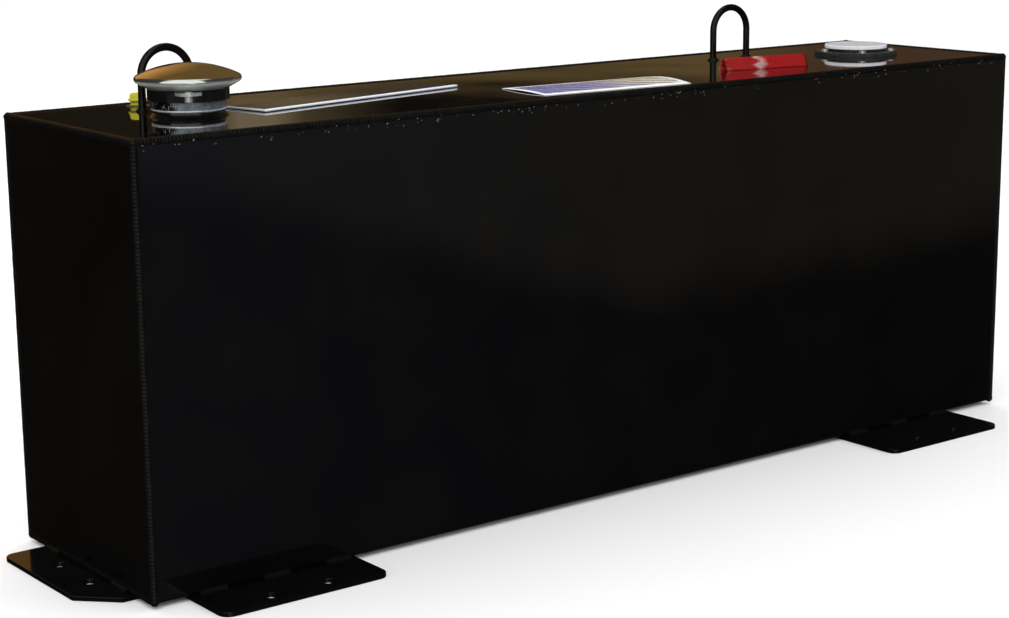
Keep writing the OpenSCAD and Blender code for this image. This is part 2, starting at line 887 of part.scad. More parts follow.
module dial_lens() {
    color([0.9, 0.95, 1, 0.4])
        on_top(gauge_x, body_y)
            bar_z(boss_top + dial_h - lens_t, boss_top + dial_h, 0, 0, dial_r - cup_wall);
}

module pointer() {
    hub = 3;
    length = dial_r - cup_wall - 8;
    color([0.75, 0.1, 0.08])
        on_top(gauge_x, body_y)
            translate([0, 0, pointer_base])
                rotate([0, 0, pointer_angle])
                    linear_extrude(height = needle_t)
                        difference() {
                            union() {
                                circle(hub);
                                polygon([[-8, -1.6], [length, -0.5], [length, 0.5], [-8, 1.6]]);
                            }
                            circle(dial_pin_r + running_gap);
                        }
}

// Moves what turns about the float arm's pivot to its place
module at_pivot() {
    on_top(gauge_x, body_y)
        translate([0, 0, -pivot_drop])
            children();
}

module support_tube() {
    color([0.7, 0.65, 0.45])
        on_top(gauge_x, body_y)
            difference() {
                bar_z(-pivot_drop - yoke_drop + yoke_t, -tube_seat, 0, 0, tube_r);
                bar_z(-pivot_drop, 0, 0, 0, tube_r - tube_wall);
            }
}

// Yoke on the foot of the tube, with two ears for the float arm's pin
module pivot_bracket() {
    depth = ear_back + ear_t - ear_front + ear_t;
    color([0.7, 0.65, 0.45])
        at_pivot()
            difference() {
                union() {
                    translate([-ear_half, ear_front - ear_t, -yoke_drop])
                        cube([2 * ear_half, depth, yoke_t]);
                    for (y = [ear_front - ear_t, ear_back]) {
                        translate([-ear_half, y, 0])
                            cube([2 * ear_half, ear_t, -yoke_drop]);
                        bar_y(y, y + ear_t, 0, 0, ear_half);
                    }
                }
                bar_z(-yoke_drop - past, -yoke_drop + yoke_t + past, 0, 0, tube_r - tube_wall);
                bar_y(ear_front - ear_t - past, ear_back + ear_t + past, 0, 0, pin_r);
            }
}

// Bearings at both ends of the support tube
module shaft_bushes() {
    length = 8;
    low = -pivot_drop - yoke_drop + yoke_t;
    color([0.75, 0.55, 0.3])
        on_top(gauge_x, body_y)
            for (z = [low, -tube_seat - length])
                difference() {
                    bar_z(z, z + length, 0, 0, tube_r - tube_wall);
                    bar_z(z - past, z + length + past, 0, 0, shaft_r + running_gap);
                }
}

module drive_shaft() {
    color([0.7, 0.7, 0.72])
        on_top(gauge_x, body_y)
            bar_z(-pivot_drop + gear_pitch_r * face_share, -magnet_top - magnet_t, 0, 0, shaft_r);
}

module drive_magnet() {
    color([0.25, 0.25, 0.27])
        on_top(gauge_x, body_y)
            bar_z(-magnet_top - magnet_t, -magnet_top, 0, 0, magnet_r);
}

// Pinion whose gap faces the gear's tooth at rest
module shaft_pinion() {
    color([0.8, 0.62, 0.3])
        at_pivot()
            difference() {
                bevel_gear(pinion_teeth, pinion_cone, gear_pitch_r, 90 + 180 / pinion_teeth, 1);
                bar_z(0, gear_pitch_r + past, 0, 0, shaft_r);
            }
}

module arm_pin() {
    color([0.7, 0.7, 0.72])
        at_pivot()
            bar_y(ear_front - ear_t, ear_back + ear_t, 0, 0, pin_r);
}

// Bevel gear with its hub, turning on the pin with the float arm
module arm_gear() {
    hub_front = ear_front + 0.4;
    hub_back = pinion_pitch_r + gear_back;
    color([0.8, 0.62, 0.3])
        at_pivot()
            difference() {
                union() {
                    rotate([-90, 0, 0])
                        bevel_gear(gear_teeth, gear_cone, pinion_pitch_r, 270, gear_tip_share);
                    bar_y(pinion_pitch_r, hub_back, 0, 0, gear_web_r);
                    bar_y(hub_front, hub_back, 0, 0, gear_hub_r);
                }
                bar_y(hub_front - past, hub_back + past, 0, 0, pin_r + running_gap);
            }
}

// Places a part that points along the float arm, at its empty position
module along_arm() {
    at_pivot()
        translate([0, arm_y, 0])
            rotate([0, -90 - arm_angle, 0])
                children();
}

module float_arm() {
    color([0.7, 0.7, 0.72])
        difference() {
            along_arm()
                bar_z(0, arm_l - float_r + arm_seat, 0, 0, arm_r);
            at_pivot()
                bar_y(arm_y - 2 * arm_r, arm_y + 2 * arm_r, 0, 0, gear_hub_r);
        }
}

// Drum-shaped float with rounded rims, pushed on the end of the arm
module float_body() {
    rim = 4;
    color([0.12, 0.12, 0.13])
        along_arm()
            difference() {
                translate([0, 0, arm_l])
                    rotate([90, 0, 0])
                        translate([0, 0, -float_l / 2])
                            rotate_extrude()
                                union() {
                                    square([float_r - rim, float_l]);
                                    translate([0, rim])
                                        square([float_r, float_l - 2 * rim]);
                                    for (z = [rim, float_l - rim])
                                        translate([float_r - rim, z])
                                            circle(rim);
                                }
                bar_z(0, arm_l - float_r + arm_seat, 0, 0, arm_r);
            }
}

// Moves a card to its corner on the top plate
module card_place(corner, turn) {
    translate([left_x + corner[0], front_y + corner[1], top_z])
        rotate([0, 0, turn])
            children();
}

module card_dark() {
    color([0.16, 0.14, 0.12])
        card_place(card_corner, card_turn)
            cube([card_size[0], card_size[1], card_t]);
}

module card_blue() {
    color([0.75, 0.76, 0.88])
        card_place(blue_card_corner, blue_card_turn)
            cube([blue_card_size[0], blue_card_size[1], blue_card_t]);
}

// Card folded to a low tent that stands on its two lower edges
module card_red() {
    color([0.8, 0.2, 0.2])
        card_place(red_card_corner, red_card_turn)
            rotate([90, 0, 90])
                linear_extrude(height = red_card_length)
                    polygon([[0, 0], [red_card_t, 0], [red_card_lean, red_card_h - 2 * red_card_t],
                        [2 * red_card_lean - red_card_t, 0], [2 * red_card_lean, 0],
                        [red_card_lean + red_card_t / 2, red_card_h],
                        [red_card_lean - red_card_t / 2, red_card_h]]);
}

tank_wrap();
tank_end_left();
tank_end_right();
top_plate();
baffle_left();
baffle_right();
seam_welds();
foot_front_left();
foot_front_right();
foot_end_left();
foot_end_right();
foot_welds();
neck_tube();
neck_weld();
neck_ring();
cap_plug();
cap_gasket();
cap_spindle();
cap_dome();
lock_lug();
lock_barrel();
eye_left();
eye_right();
eye_welds();
vent_bung();
vent_plug();
gauge_pad();
gauge_gasket();
gauge_head();
gauge_screws();
dial_cup();
dial_face();
dial_lens();
pointer();
support_tube();
pivot_bracket();
shaft_bushes();
drive_shaft();
drive_magnet();
shaft_pinion();
arm_pin();
arm_gear();
float_arm();
float_body();
card_dark();
card_blue();
card_red();
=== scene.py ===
"""Looks of a truck bed transfer tank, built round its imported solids."""

import enum
import logging
import math
from dataclasses import dataclass
from typing import Callable, Iterable, Sequence

import bmesh
import bpy
from mathutils import Matrix, Vector


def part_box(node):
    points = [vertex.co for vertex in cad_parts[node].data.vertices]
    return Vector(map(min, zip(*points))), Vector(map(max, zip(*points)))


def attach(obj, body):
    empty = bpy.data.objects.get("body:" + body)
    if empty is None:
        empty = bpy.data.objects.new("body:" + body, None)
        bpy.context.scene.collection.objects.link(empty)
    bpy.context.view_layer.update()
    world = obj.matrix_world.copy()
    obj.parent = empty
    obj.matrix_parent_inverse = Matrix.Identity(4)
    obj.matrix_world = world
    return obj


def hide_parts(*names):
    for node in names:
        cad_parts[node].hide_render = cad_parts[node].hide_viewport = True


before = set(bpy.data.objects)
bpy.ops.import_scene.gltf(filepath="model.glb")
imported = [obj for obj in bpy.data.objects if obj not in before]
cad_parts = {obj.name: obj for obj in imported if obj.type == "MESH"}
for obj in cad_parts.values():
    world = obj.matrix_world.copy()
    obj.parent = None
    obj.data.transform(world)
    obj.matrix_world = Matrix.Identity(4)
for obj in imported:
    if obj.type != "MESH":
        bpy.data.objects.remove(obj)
LOG = logging.getLogger("transfer_tank")
MM = 0.001
LEFT_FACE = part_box("tank_end_left")[0][0]
FRONT_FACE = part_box("tank_wrap")[0][1]
TOP_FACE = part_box("top_plate")[1][2]
Colour = tuple[float, float, float]
Pair = tuple[float, float]
Point = tuple[float, float, float]
Shares = dict[bmesh.types.BMVert, Pair]


class Body(enum.Enum):
    """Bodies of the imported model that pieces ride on."""

    TANK = "tank"
    CAP_DOME = "cap_dome"
    VENT_PLUG = "vent_plug"


def middle(node: str) -> Vector:
    """Middle of a node's box, in the row frame."""
    low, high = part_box(node)
    return (Vector(low) + Vector(high)) / 2


def above_foot(node: str, low: float, high: float) -> Pair:
    """Two heights in the row frame that are given from a node's underside."""
    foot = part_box(node)[0][2]
    return foot + low, foot + high


# Node helpers and finishes


class Val:
    """A node socket that takes part in arithmetic."""

    def __init__(self, maker: "Maker", socket: bpy.types.NodeSocket) -> None:
        """Keeps the socket and the maker of its tree."""
        self.maker = maker
        self.socket = socket

    def __add__(self, other: "Val | float") -> "Val":
        """Sum of this value and another."""
        return self.maker.math("ADD", self, other)

    def __sub__(self, other: "Val | float") -> "Val":
        """This value less another."""
        return self.maker.math("SUBTRACT", self, other)

    def __rsub__(self, other: float) -> "Val":
        """A number less this value."""
        return self.maker.math("SUBTRACT", other, self)

    def __mul__(self, other: "Val | float") -> "Val":
        """Product of this value and another."""
        return self.maker.math("MULTIPLY", self, other)

    def __truediv__(self, other: "Val | float") -> "Val":
        """This value over another."""
        return self.maker.math("DIVIDE", self, other)

    def above(self, limit: float) -> "Val":
        """One where this value is above a limit, else zero."""
        return self.maker.math("GREATER_THAN", self, limit)

    def size(self) -> "Val":
        """This value without its sign."""
        return self.maker.math("ABSOLUTE", self)


class Maker:
    """Makes and links nodes in one tree."""

    def __init__(self, tree: bpy.types.NodeTree) -> None:
        """Keeps the tree that the nodes go into."""
        self.tree = tree

    def make(self, kind: str, inputs: dict | None = None, out: int | str = 0,
             **settings: object) -> Val:
        """Adds one node.

        Args:
            kind: Blender's name of the node type.
            inputs: values, sockets or Val objects by input name or number.
            out: name or number of the output wanted.
            settings: properties set on the node before its inputs.

        Returns:
            The wanted output.
        """
        node = self.tree.nodes.new(kind)
        for name, value in settings.items():
            setattr(node, name, value)
        for key, value in (inputs or {}).items():
            if isinstance(value, Val):
                self.tree.links.new(value.socket, node.inputs[key])
            else:
                node.inputs[key].default_value = value
        return Val(self, node.outputs[out])

    def join(self, value: Val, socket: bpy.types.NodeSocket) -> None:
        """Links a value to a socket of a node that exists."""
        self.tree.links.new(value.socket, socket)

    def math(self, name: str, first: Val | float, second: Val | float = 0.0) -> Val:
        """Arithmetic on one or two values, by Blender's name of it."""
        return self.make("ShaderNodeMath", {0: first, 1: second}, operation=name)

    def axes(self, spot: Val) -> list[Val]:
        """The three parts of a vector."""
        node = self.make("ShaderNodeSeparateXYZ", {0: spot}).socket.node
        return [Val(self, part) for part in node.outputs]

    def own_place(self) -> Val:
        """The piece's own coordinates."""
        return self.make("ShaderNodeTexCoord", out="Object")

    def noise(self, scale: float, detail: float = 3.0, where: Val | None = None) -> Val:
        """Smooth noise over the piece's own coordinates, or over another vector."""
        return self.make("ShaderNodeTexNoise", {"Vector": where or self.own_place(),
                                                "Scale": scale, "Detail": detail})

    def spread(self, value: Val, low: float, high: float, to_low: float, to_high: float) -> Val:
        """Maps a range of values to another, held at its ends."""
        return self.make("ShaderNodeMapRange", {"Value": value, "From Min": low, "From Max": high,
                                                "To Min": to_low, "To Max": to_high})

    def grow(self, value: Val, limits: Pair) -> Val:
        """Zero up to the first limit, rising to one at the second."""
        return self.spread(value, *limits, 0.0, 1.0)

    def fade(self, value: Val, limits: Pair) -> Val:
        """One up to the first limit, falling to zero at the second."""
        return self.spread(value, *limits, 1.0, 0.0)

    def blend(self, share: Val | float, first: Val | Colour, second: Val | Colour) -> Val:
        """Mixes two colours by a share."""
        ends = [c if isinstance(c, Val) else (*c, 1.0) for c in (first, second)]
        return self.make("ShaderNodeMix", {0: share, 6: ends[0], 7: ends[1]}, out=2,
                         data_type="RGBA")

    def ramp(self, place: Val, stops: Sequence[tuple[float, Colour]]) -> Val:
        """Colour at a place along a row of colours.

        Args:
            place: place from 0 to 1.
            stops: places and colours, the ones at 0 and at 1 first.

        Returns:
            The colour.
        """
        shown = self.make("ShaderNodeValToRGB", {0: place})
        elements = shown.socket.node.color_ramp.elements
        for index, (where, shade) in enumerate(stops):
            stop = elements[index] if index < 2 else elements.new(where)
            stop.position = where
            stop.color = (*shade, 1.0)
        return shown

    def bump(self, height: Val, distance: float, under: Val | None = None) -> Val:
        """Normal bumped by a height.

        Args:
            height: height from 0 to 1.
            distance: depth of the bump in metres.
            under: normal that is bumped, or None for the surface's own.

        Returns:
            The new normal.
        """
        inputs = {"Height": height, "Distance": distance, "Strength": 1.0}
        if under is not None:
            inputs["Normal"] = under
        return self.make("ShaderNodeBump", inputs)


def new_material(name: str) -> tuple[bpy.types.Material, bpy.types.Node, Maker]:
    """Makes a plain node material.

    Args:
        name: name of the material.

    Returns:
        The material, its shader node and a maker for its tree.
    """
    material = bpy.data.materials.new(name)
    material.use_nodes = True
    return material, material.node_tree.nodes["Principled BSDF"], Maker(material.node_tree)


@dataclass(frozen=True)
class Finish:
    """A procedural finish that becomes one material.

    Attributes:
        name: name of the material.
        base: main colour.
        tint: colour that the noise blends in.
        rough: lowest and highest roughness.
        metal: metallic value.
        coat: weight of the clear coat, with its roughness.
        patch: scale of the colour and roughness noise, per metre.
        grain: scale and depth in metres of the fine bump.
        wave: scale and depth in metres of the broad bump.
        glass: transmission weight.
        shine: level of the plain reflection, where a half is that of most paints.
    """

    name: str
    base: Colour
    tint: Colour
    rough: Pair
    metal: float = 0.0
    coat: Pair = (0.0, 0.1)
    patch: float = 30.0
    grain: Pair = (900.0, 0.00002)
    wave: Pair = (0.0, 0.0)
    glass: float = 0.0
    shine: float = 0.5

    MOTTLE_RANGE = (0.35, 0.7)
    WEAR_RANGE = (0.3, 0.7)
    WEAR_SCALE = 2.3

    def metalness(self, maker: Maker) -> Val | None:
        """Metallic value that varies over the surface, or None where it doesn't."""
        return None

    def colour(self, maker: Maker) -> Val:
        """Base colour of the surface."""
        mottle = maker.grow(maker.noise(self.patch, 4.0), self.MOTTLE_RANGE)
        return maker.blend(mottle, self.base, self.tint)

    def build(self) -> bpy.types.Material:
        """Makes the material once, under a name that no packed material has.

        Returns:
            The material.
        """
        label = self.name + "_finish"
        known = bpy.data.materials.get(label)
        if known is not None:
            return known
        material, shader, maker = new_material(label)
        plain = {"Metallic": self.metal, "Specular IOR Level": self.shine,
                 "Coat Weight": self.coat[0], "Coat Roughness": self.coat[1],
                 "Transmission Weight": self.glass}
        for name, value in plain.items():
            shader.inputs[name].default_value = value
        maker.join(self.colour(maker), shader.inputs["Base Color"])
        wear = maker.noise(self.patch * self.WEAR_SCALE, 5.0)
        maker.join(maker.spread(wear, *self.WEAR_RANGE, *self.rough), shader.inputs["Roughness"])
        worked = self.metalness(maker)
        if worked is not None:
            maker.join(worked, shader.inputs["Metallic"])
        normal = maker.bump(maker.noise(self.grain[0], 2.0), self.grain[1])
        if self.wave[0]:
            normal = maker.bump(maker.noise(self.wave[0], 1.0), self.wave[1], normal)
        maker.join(normal, shader.inputs["Normal"])
        return material


@dataclass(frozen=True)
class SpeckledFinish(Finish):
    """A finish with small flecks of another colour, as on plated castings.

    Attributes:
        fleck: colour of the flecks.
        fleck_scale: scale of the flecks, per metre.
        fleck_level: level of the noise above which a fleck shows.
    """

    fleck: Colour = (0.1, 0.1, 0.1)
    fleck_scale: float = 900.0
    fleck_level: float = 0.6

    def colour(self, maker: Maker) -> Val:
        """Base colour with flecks over it."""
        spots = maker.noise(self.fleck_scale, 1.0).above(self.fleck_level)
        return maker.blend(spots, super().colour(maker), self.fleck)


@dataclass(frozen=True)
class DomeFinish(Finish):
    """Bright plating that is buffed on the crown and duller on the flank below the rim.

    Attributes:
        levels: heights between which the duller plating turns bright.
        dull: metallic value of the duller plating.
    """

    levels: Pair = (0.0, 1.0)
    dull: float = 0.6

    def metalness(self, maker: Maker) -> Val:
        """Metallic value that rises from the flank to the crown."""
        height = maker.axes(maker.own_place())[2]
        return maker.spread(height, *self.levels, self.dull, 1.0)


@dataclass(frozen=True)
class RingFinish(SpeckledFinish):
    """Speckled zinc, black on the left, with painted highlights on knurls and the lower chamfer.

    Attributes:
        axis: place of the ring's axis.
        bright: heights between which the lower chamfer gets a painted highlight.
    """

    axis: Pair = (0.0, 0.0)
    bright: Pair = (0.0, 0.0)
    KNURLS = 90.0
    KNURL_LEVEL = 0.7
    # patches in which the knurls' painted highlight dashes show
    GLINT_PATCH_SCALE = 180.0
    GLINT_PATCH_LEVEL = 0.52
    # black of the left part, then the colour of the painted highlight on the knurls
    LEFT_BLACK = (0.006, 0.006, 0.007)
    KNURL_HIGHLIGHT = (0.6, 0.62, 0.66)
    # colour of the painted highlight on the lower chamfer
    CHAMFER_HIGHLIGHT = (0.95, 0.97, 1.0)
    EDGE = (-0.006, 0.002)
    EDGE_SLANT = -0.75
    RAGGED_SCALE = 60.0
    RAGGED_REACH = 0.02

    def colour(self, maker: Maker) -> Val:
        """Zinc, black left part, painted highlights on the knurls and along the lower chamfer.

        Args:
            maker: maker of the material's tree.

        Returns:
            The colour.
        """
        x, y, z = maker.axes(maker.own_place())
        off_x, off_y = x - self.axis[0], y - self.axis[1]
        # stripes of painted highlight on the knurls, shown in patches over the black left part
        wave = maker.math("SINE", maker.math("ARCTAN2", off_y, off_x) * self.KNURLS)
        patchy = maker.noise(self.GLINT_PATCH_SCALE, 2.0).above(self.GLINT_PATCH_LEVEL)
        left_black_with_glints = maker.blend(wave.above(self.KNURL_LEVEL) * patchy, self.LEFT_BLACK, self.KNURL_HIGHLIGHT)
        ragged = maker.noise(self.RAGGED_SCALE) * self.RAGGED_REACH
        place = off_x + off_y * self.EDGE_SLANT + ragged
        body = maker.blend(maker.fade(place, self.EDGE), super().colour(maker), left_black_with_glints)
        # painted highlight along the lower chamfer
        low, high = self.bright
        chamfer = z.above(low) * (1.0 - z.above(high))
        return maker.blend(chamfer, body, self.CHAMFER_HIGHLIGHT)


@dataclass(frozen=True)
class PrintedFinish(Finish):
    """Glossy card with a white border and plain fields of colour along its length.

    The piece's own UV map runs from 0 to 1 along and across the card.

    Attributes:
        fields: colour stops along the card, as place and colour.
        drift: weight of the place, weight of the noise that bends the fields, and shift.
        border: width of the white border along and across, as a share.
        sides: whether the right and the back side have the border too.
        streak: colour and strength of streaks across the fields.
        streak_form: scale of the streaks and the level above which they show.
        edge: colour of the border and of the card's cut sides.
    """

    fields: tuple[tuple[float, Colour], ...] = ()
    drift: Point = (0.86, 0.28, -0.07)
    border: Pair = (0.01, 0.03)
    sides: bool = True
    streak: tuple[Colour, float] = ((1.0, 1.0, 1.0), 0.0)
    streak_form: Pair = (2.4, 0.72)
    edge: Colour = (0.85, 0.85, 0.88)
    BEND_SCALE = 3.0
    STREAK_DISTORTION = 3.0

    def colour(self, maker: Maker) -> Val:
        """Fields, streaks and border.

        Args:
            maker: maker of the material's tree.

        Returns:
            The colour.
        """
        spot = maker.make("ShaderNodeUVMap")
        along, across, _ = maker.axes(spot)
        held, bent, shift = self.drift
        place = along * held + maker.noise(self.BEND_SCALE, where=spot) * bent + shift
        wavy = maker.make("ShaderNodeTexWave", {"Vector": spot, "Scale": self.streak_form[0],
                                                "Distortion": self.STREAK_DISTORTION,
                                                "Detail": 2.0},
                          out=1, bands_direction="DIAGONAL")
        glow = maker.spread(wavy, self.streak_form[1], 1.0, 0.0, self.streak[1])
        filled = maker.blend(glow, maker.ramp(place, self.fields), self.streak[0])
        rim = 0.0
        for value, width in zip((along, across), self.border):
            for side in (value, 1.0 - value) if self.sides else (value,):
                rim = (width - side).above(0.0) + rim
        return maker.blend(maker.grow(rim, (0.0, 1.0)), filled, self.edge)


BLACK_PAINT = Finish("black_paint", (0.0012, 0.0012, 0.0014), (0.0024, 0.0021, 0.0018),
                     (0.03, 0.07), coat=(0.6, 0.02), patch=14.0, grain=(420.0, 0.000004),
                     wave=(4.0, 0.0015))
ROD_PAINT = Finish("rod_paint", (0.0015, 0.0015, 0.0017), (0.003, 0.0027, 0.0024), (0.08, 0.16),
                   patch=30.0, grain=(500.0, 0.00001), shine=0.3)
WELD_PAINT = Finish("weld_paint", (0.0022, 0.0022, 0.0024), (0.005, 0.0046, 0.0042), (0.1, 0.25),
                    patch=160.0, grain=(700.0, 0.00008), shine=0.15)
SPATTER = Finish("weld_spatter", (0.5, 0.49, 0.46), (0.04, 0.036, 0.03), (0.2, 0.5), metal=0.4,
                 patch=300.0)
BARE_STEEL = Finish("bare_steel", (0.3, 0.3, 0.31), (0.12, 0.09, 0.07), (0.3, 0.55), metal=0.9,
                    patch=22.0)
ZINC = SpeckledFinish("zinc_steel", (0.62, 0.64, 0.68), (0.4, 0.41, 0.45), (0.22, 0.42),
                      metal=0.9, patch=120.0, grain=(1200.0, 0.00006),
                      fleck=(0.22, 0.23, 0.26), fleck_scale=1500.0)
CHROME = DomeFinish("bright_chrome", (0.9, 0.92, 0.88), (0.84, 0.86, 0.82), (0.1, 0.18),
                    patch=40.0, grain=(260.0, 0.00001), wave=(40.0, 0.0001),
                    levels=above_foot("cap_dome", 6.0 * MM, 9.5 * MM), dull=0.4)
NECK_ZINC = RingFinish("neck_zinc", (0.3, 0.33, 0.38), (0.16, 0.18, 0.22), (0.22, 0.42), metal=0.6,
                       patch=120.0, grain=(1200.0, 0.00006), fleck=(0.06, 0.065, 0.08),
                       fleck_scale=1500.0, axis=tuple(middle("neck_ring").xy),
                       bright=above_foot("neck_ring", 0.0, 2.2 * MM))
BLACK_PLASTIC = Finish("black_plastic", (0.004, 0.004, 0.0045), (0.008, 0.007, 0.007),
                       (0.08, 0.16), patch=60.0, shine=0.3)
LUG_PLATE = Finish("lug_plate", (0.72, 0.74, 0.7), (0.5, 0.52, 0.5), (0.15, 0.28), metal=0.7,
                   patch=200.0)
RUBBER = Finish("nitrile_rubber", (0.012, 0.012, 0.012), (0.02, 0.02, 0.02), (0.6, 0.8),
                patch=90.0, grain=(1500.0, 0.0001))
YELLOW = Finish("yellow_plastic", (0.58, 0.5, 0.008), (0.5, 0.46, 0.006), (0.3, 0.45), patch=80.0,
                grain=(800.0, 0.00006))
WHITE = Finish("white_plastic", (0.86, 0.87, 0.9), (0.78, 0.79, 0.83), (0.15, 0.28), patch=50.0,
               coat=(0.4, 0.05))
CLEAR = Finish("clear_plastic", (0.92, 0.95, 1.0), (0.89, 0.93, 0.99), (0.12, 0.2), glass=0.45,
               shine=0.03)
RED_ENAMEL = Finish("red_enamel", (0.6, 0.03, 0.02), (0.5, 0.02, 0.02), (0.25, 0.4), patch=90.0)
CAST = SpeckledFinish("cast_alloy", (0.012, 0.012, 0.013), (0.03, 0.03, 0.03), (0.3, 0.5),
                      metal=0.3, patch=70.0, grain=(900.0, 0.00012), shine=0.3,
                      fleck=(0.12, 0.11, 0.1))
BRASS = Finish("brass", (0.68, 0.5, 0.2), (0.5, 0.34, 0.12), (0.18, 0.34), metal=1.0, patch=90.0)
STEEL_ROD = Finish("steel_rod", (0.55, 0.55, 0.57), (0.4, 0.4, 0.42), (0.2, 0.34), metal=1.0,
                   patch=120.0)
FOAM = SpeckledFinish("float_foam", (0.02, 0.02, 0.022), (0.035, 0.035, 0.037), (0.55, 0.8),
                      patch=120.0, grain=(1400.0, 0.0002), fleck=(0.06, 0.06, 0.06))
CARD_DARK = PrintedFinish(
    "card_dark", (0.01, 0.009, 0.007), (0.02, 0.016, 0.012), (0.25, 0.4), sides=False,
    patch=20.0, shine=0.3,
    fields=((0.0, (0.035, 0.028, 0.02)), (1.0, (0.02, 0.018, 0.016)),
            (0.3, (0.075, 0.06, 0.035)), (0.6, (0.012, 0.011, 0.012))),
    border=(0.006, 0.06), streak=((0.06, 0.045, 0.03), 0.3), edge=(0.8, 0.84, 0.92))
CARD_BLUE = PrintedFinish(
    "card_blue", (0.3, 0.31, 0.4), (0.3, 0.31, 0.4), (0.2, 0.35), shine=0.3,
    fields=((0.0, (0.2, 0.2, 0.42)), (1.0, (0.75, 0.7, 0.56)), (0.4, (0.3, 0.28, 0.42)),
            (0.62, (0.5, 0.46, 0.4)), (0.75, (0.7, 0.62, 0.3))),
    border=(0.03, 0.1), streak=((0.04, 0.035, 0.28), 0.85), streak_form=(3.4, 0.45),
    edge=(0.88, 0.9, 0.92))
CARD_RED = PrintedFinish(
    "card_red", (0.45, 0.015, 0.015), (0.45, 0.015, 0.015), (0.25, 0.4), shine=0.25,
    fields=((0.0, (0.7, 0.5, 0.47)), (1.0, (0.3, 0.01, 0.01)), (0.1, (0.5, 0.02, 0.02)),
            (0.36, (0.5, 0.015, 0.016)), (0.42, (0.75, 0.5, 0.47)), (0.5, (0.52, 0.014, 0.015)),
            (0.86, (0.5, 0.012, 0.014))),
    border=(0.004, 0.0), sides=False, streak=((0.8, 0.6, 0.58), 0.0), edge=(0.6, 0.3, 0.3))

FINISHED_NODES: tuple[tuple[Finish, str], ...] = (
    (BLACK_PAINT, "tank_wrap tank_end_left tank_end_right top_plate neck_tube gauge_pad"),
    (ROD_PAINT, "foot_front_left foot_front_right foot_end_left foot_end_right"),
    (ROD_PAINT, "eye_left eye_right"),
    (WELD_PAINT, "seam_welds foot_welds neck_weld eye_welds"),
    (BARE_STEEL, "baffle_left baffle_right vent_bung"),
    (ZINC, "cap_spindle gauge_screws support_tube pivot_bracket"),
    (CHROME, "cap_dome"),
    (NECK_ZINC, "neck_ring"),
    (LUG_PLATE, "lock_lug lock_barrel"),
    (BLACK_PLASTIC, "cap_plug"),
    (RUBBER, "cap_gasket gauge_gasket"),
    (YELLOW, "vent_plug"),
    (CAST, "gauge_head"),
    (WHITE, "dial_cup dial_face"),
    (CLEAR, "dial_lens"),
    (RED_ENAMEL, "pointer"),
    (BRASS, "shaft_bushes shaft_pinion arm_gear"),
    (STEEL_ROD, "drive_shaft drive_magnet arm_pin float_arm"),
    (FOAM, "float_body"),
    (CARD_DARK, "card_dark"),
    (CARD_BLUE, "card_blue"),
    (CARD_RED, "card_red"),
)


# Meshes


def put(name: str, data: bpy.types.ID) -> bpy.types.Object:
    """Puts a new object in the scene.

    Args:
        name: its name.
        data: its mesh, light or camera.

    Returns:
        The object.
    """
    item = bpy.data.objects.new(name, data)
    bpy.context.scene.collection.objects.link(item)
    return item


def baked(form: bmesh.types.BMesh, name: str) -> bpy.types.Mesh:
    """Turns a form into a mesh.

    Args:
        form: the form, which is freed.
        name: name of the mesh.

    Returns:
        The mesh.
    """
    mesh = bpy.data.meshes.new(name)
    form.to_mesh(mesh)
    form.free()
    return mesh


def add_piece(name: str, mesh: bpy.types.Mesh, finish: Finish, body: Body, slot: str,
              stands_for: Sequence[str] = (), smooth: bool = True) -> bpy.types.Object:
    """Puts a mesh in the scene as a piece that rides on a body.

    Args:
        name: name of the piece.
        mesh: its mesh, in place in the row frame.
        finish: its finish.
        body: the body it rides on.
        slot: the record's material slot; not used.
        stands_for: CAD nodes that it stands for.
        smooth: whether faces are shaded smooth.

    Returns:
        The new object.
    """
    mesh.name = name
    mesh.materials.clear()
    mesh.materials.append(finish.build())
    for face in mesh.polygons:
        face.use_smooth = smooth
    piece = put(name, mesh)
    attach(piece, body.value)
    if stands_for:
        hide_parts(*stands_for)
    LOG.info("piece %s rides on %s", name, body.value)
    return piece


def lathe(profile: Sequence[Pair], centre: Vector, segments: int,
          wobble: Callable[[float, float], float] | None = None) -> bpy.types.Mesh:
    """Turned mesh about a vertical axis.

    Args:
        profile: radius and height pairs in metres, heights above the centre.
        centre: point on the axis.
        segments: number of steps round the axis.
        wobble: extra radius for an angle and a height.

    Returns:
        The mesh.
    """
    form = bmesh.new()
    rows = []
    for radius, height in profile:
        row = []
        for step in range(segments):
            angle = 2 * math.pi * step / segments
            reach = radius + (wobble(angle, height) if wobble and radius > 0 else 0.0)
            row.append(form.verts.new((centre.x + reach * math.cos(angle),
                                       centre.y + reach * math.sin(angle), centre.z + height)))
        rows.append(row)
    for lower, upper in zip(rows, rows[1:]):
        for step in range(segments):
            after = (step + 1) % segments
            form.faces.new((lower[step], lower[after], upper[after], upper[step]))
    bmesh.ops.remove_doubles(form, verts=form.verts, dist=1e-7)
    bmesh.ops.recalc_face_normals(form, faces=form.faces)
    return baked(form, "turned")


def softened(node: str, width: float) -> bpy.types.Mesh:
    """Copy of a CAD node's mesh with small rounds on its sharp edges.

    Args:
        node: the CAD node.
        width: width of the rounds in metres.

    Returns:
        The new mesh, in place.
    """
    same, flat, sharp = 1e-6, math.radians(1), math.radians(35)
    form = bmesh.new()
    form.from_mesh(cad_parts[node].data)
    bmesh.ops.remove_doubles(form, verts=form.verts, dist=same)
    bmesh.ops.dissolve_limit(form, angle_limit=flat, verts=form.verts, edges=form.edges)
    edges = [e for e in form.edges if len(e.link_faces) == 2 and e.calc_face_angle(0.0) > sharp]
    bmesh.ops.bevel(form, geom=edges, offset=width, segments=2, profile=0.5, affect="EDGES",
                    clamp_overlap=True)
    return baked(form, node + "_soft")


